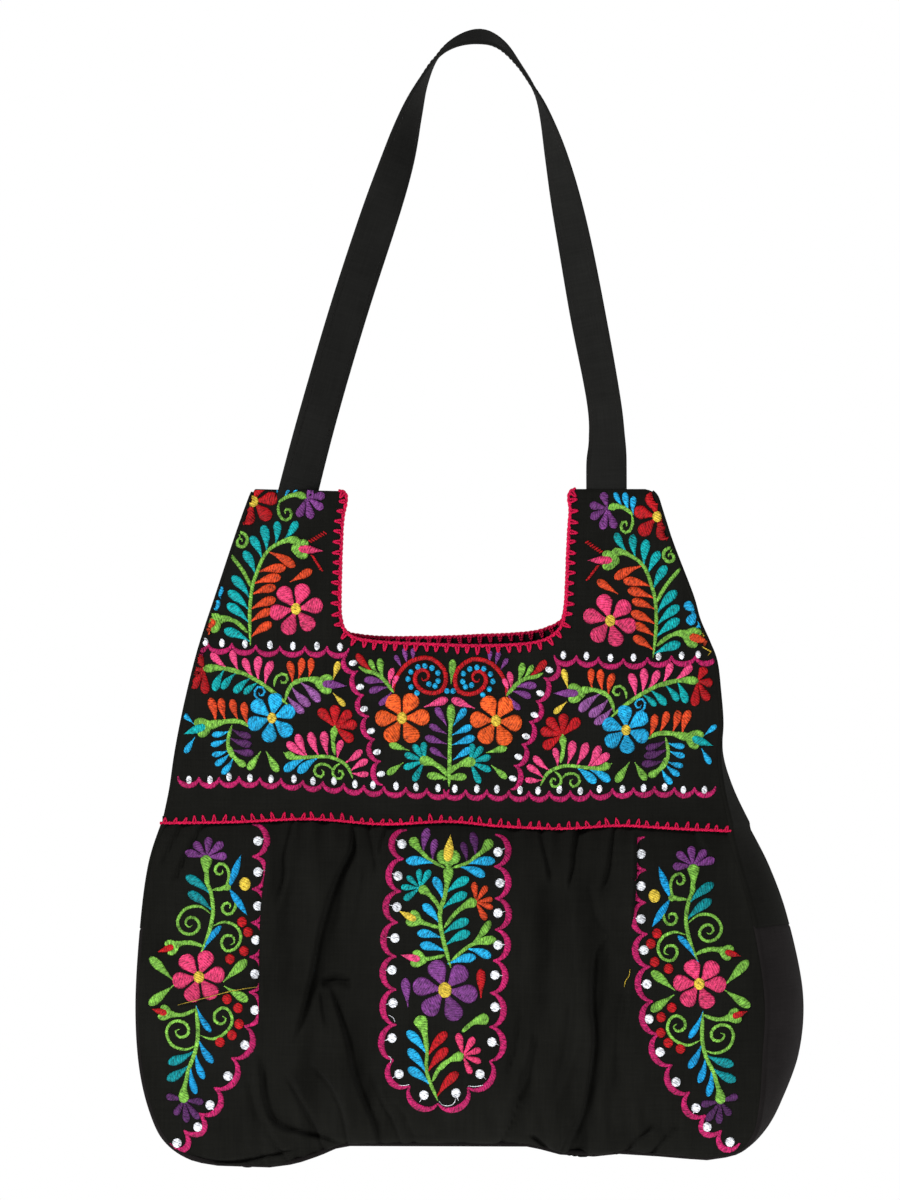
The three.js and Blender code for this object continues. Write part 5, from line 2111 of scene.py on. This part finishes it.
LAP_EDGES = [dense_path(route) for *_, route in LAPS]
LAP_MARGIN = 0.2
LAP_LIMITS = (320, 600)
WAIST_MARGIN = 2


def shows_on_pouch(pixels):
    """Whether stitches lie below the waist and beside the pleats that cover them."""
    px, py = pixels[:, 0], pixels[:, 1]
    left, right = LAP_EDGES
    left_edge = np.interp(py, left[:, 1], left[:, 0], left=FRAME_WIDTH, right=FRAME_WIDTH)
    right_edge = np.interp(py, right[:, 1], right[:, 0], right=0)
    under_left = (px < LAP_LIMITS[0]) & (px > left_edge - LAP_MARGIN)
    under_right = (px > LAP_LIMITS[1]) & (px < right_edge + LAP_MARGIN)
    return (py > waist_row(px) + WAIST_MARGIN) & ~(under_left | under_right)


class BAG_OT_embroider_pouch(bpy.types.Operator):
    """Embroider the three panels of the front pouch."""
    bl_idname = "bag.embroider_pouch"
    bl_label = "Embroider the pouch"

    def execute(self, context):
        work = Embroidery("front_pouch_cloth", shows_on_pouch,
                          CENTRE_STEMS + CENTRE_CLUBS + SIDE_STEMS + SIDE_CLUBS)
        self.centre_panel(work)
        for mirror in (None, pouch_mirror):
            work.mirror = mirror
            self.side_panel(work)
        work.mirror = None
        self.border(work, CENTRE_DOTS, CENTRE_CUSPS, CENTRE_MIDDLE, CENTRE_BULGE)
        for dots, start, end, middle, inset, bulge in SIDE_BORDERS:
            self.border(work, dots, self.cusps(dots, start, end, middle, inset), middle, bulge)
        for colour, shade, lift, route in LOOSE_THREADS:
            work.ribbon(route, LOOSE_THREAD_HALF, colour, line_profile, rows=16, lift=lift, shade=shade)
        work.finish("pouch_embroidery")
        return {"FINISHED"}

    def centre_panel(self, work):
        """The middle spray."""
        work.spray(CENTRE_STEMS, CENTRE_CLUBS, CENTRE_LEAVES, CENTRE_FANS)
        for cup in CENTRE_CUPS:
            work.disc(cup, CENTRE_CUP_RADIUS, "green", CENTRE_CUP_STRETCH)
        work.ribbon(CENTRE_FLAME, CENTRE_FLAME_HALF, "yellow", flame_profile, lift=CENTRE_FLAME_LIFT)
        for bud in CENTRE_BUDS:
            work.bud(*bud)
        work.flower(*CENTRE_FLOWER)

    def side_panel(self, work):
        """One of the two side sprays."""
        work.spray(SIDE_STEMS, SIDE_CLUBS, SIDE_LEAVES, SIDE_FANS, SIDE_BUDS)
        for tip in WING_TIPS:
            work.ribbon((WING_BASE, tip), WING_HALF, "azure", spindle_profile)
        for berry in SIDE_BERRIES:
            work.disc(berry, SIDE_BERRY_RADIUS, "red")
        work.disc(YELLOW_BERRY, YELLOW_BERRY_RADIUS, "yellow", YELLOW_BERRY_STRETCH)
        work.flower(*SIDE_FLOWER)

    @staticmethod
    def cusps(dots, start, end, middle, inset):
        """The inner corners of a border, halfway between its dots."""
        dots = np.asarray(dots, float)
        between = (dots[:-1] + dots[1:]) / 2
        out = facing_away(between, np.diff(dots, axis=0), middle)
        return np.concatenate([[start], between - out * inset, [end]])

    def border(self, work, dots, cusps, middle, bulge):
        """White dots inside a row of crescents, with the ends of their thread."""
        work.scallops(cusps, middle, bulge, SCALLOP_HALF)
        for dot in np.asarray(dots, float):
            work.disc(dot, DOT_RADIUS, "white", DOT_STRETCH)
            tail = unit((dot - np.asarray(middle, float)) * DOT_TAIL_LEVEL) * DOT_TAIL
            work.ribbon((dot, dot + tail), DOT_TAIL_HALF, "white", spindle_profile, rows=5)


# The strap's topstitching, in metres.
STITCH_PITCH = 0.0034
STITCH_LENGTH = 0.0024
STITCH_RADIUS = 0.0002
STITCH_TAPER = np.array((0.4, 1, 1, 0.4))
STITCH_SIDES = 4
STITCH_SEAT = 0.44
STITCH_SKIP = 0.03
RAIL_STOPS = STRAP_RINGS * 4
STRAP_STITCH_INSET = 0.0036


class BAG_OT_topstitch(bpy.types.Operator):
    """Topstitch the edges of the strap."""
    bl_idname = "bag.topstitch"
    bl_label = "Topstitch the strap"

    def execute(self, context):
        strips = Strips()
        points, sideways, face = strap_frame(RAIL_STOPS)
        reach = sizes().strap_width / 2 - STRAP_STITCH_INSET
        seat = sizes().strap_thickness * STITCH_SEAT
        along = run_lengths(points)
        starts = np.arange(STITCH_SKIP, along[-1] - STITCH_SKIP, STITCH_PITCH)
        for edge in (-1, 1):
            for side in (-1, 1):
                rail = points + sideways * edge * reach + face * side * seat
                for start in starts:
                    spots = start + np.linspace(0, STITCH_LENGTH, len(STITCH_TAPER))
                    stitch = np.stack([np.interp(spots, along, column) for column in rail.T], axis=-1)
                    tube(strips, stitch, STITCH_RADIUS * STITCH_TAPER, STITCH_SIDES, colours().black)
        add_piece("strap_topstitch", strips.mesh("strap_topstitch"), "satin_thread")
        return {"FINISHED"}


class BAG_PT_panel(bpy.types.Panel):
    """Lists the bag's settings and steps."""
    bl_idname = "BAG_PT_panel"
    bl_label = "Embroidered bag"
    bl_space_type = "VIEW_3D"
    bl_region_type = "UI"
    bl_category = "Bag"

    def draw(self, context):
        layout = self.layout
        for group in (context.scene.bag_sizes, context.scene.bag_colours):
            box = layout.box()
            for setting in group.__annotations__:
                box.prop(group, setting)
        for step in STEPS:
            layout.operator(step.bl_idname)


STEPS = (
    BAG_OT_stage, BAG_OT_sew_yokes, BAG_OT_sew_pouches, BAG_OT_sew_gussets, BAG_OT_sew_strap,
    BAG_OT_crochet_edgings, BAG_OT_embroider_yoke, BAG_OT_embroider_pouch, BAG_OT_topstitch,
)
CLASSES = (BagSizes, BagColours, *STEPS, BAG_PT_panel)


def register():
    """Registers the classes and the scene's settings."""
    for item in CLASSES:
        bpy.utils.register_class(item)
    bpy.types.Scene.bag_sizes = bpy.props.PointerProperty(type=BagSizes)
    bpy.types.Scene.bag_colours = bpy.props.PointerProperty(type=BagColours)


def unregister():
    """Removes the settings and the classes."""
    del bpy.types.Scene.bag_colours
    del bpy.types.Scene.bag_sizes
    for item in reversed(CLASSES):
        bpy.utils.unregister_class(item)


def main():
    """Builds the bag step by step."""
    register()
    for step in STEPS:
        group, name = step.bl_idname.split(".")
        getattr(getattr(bpy.ops, group), name)()


if __name__ == "__main__":
    main()
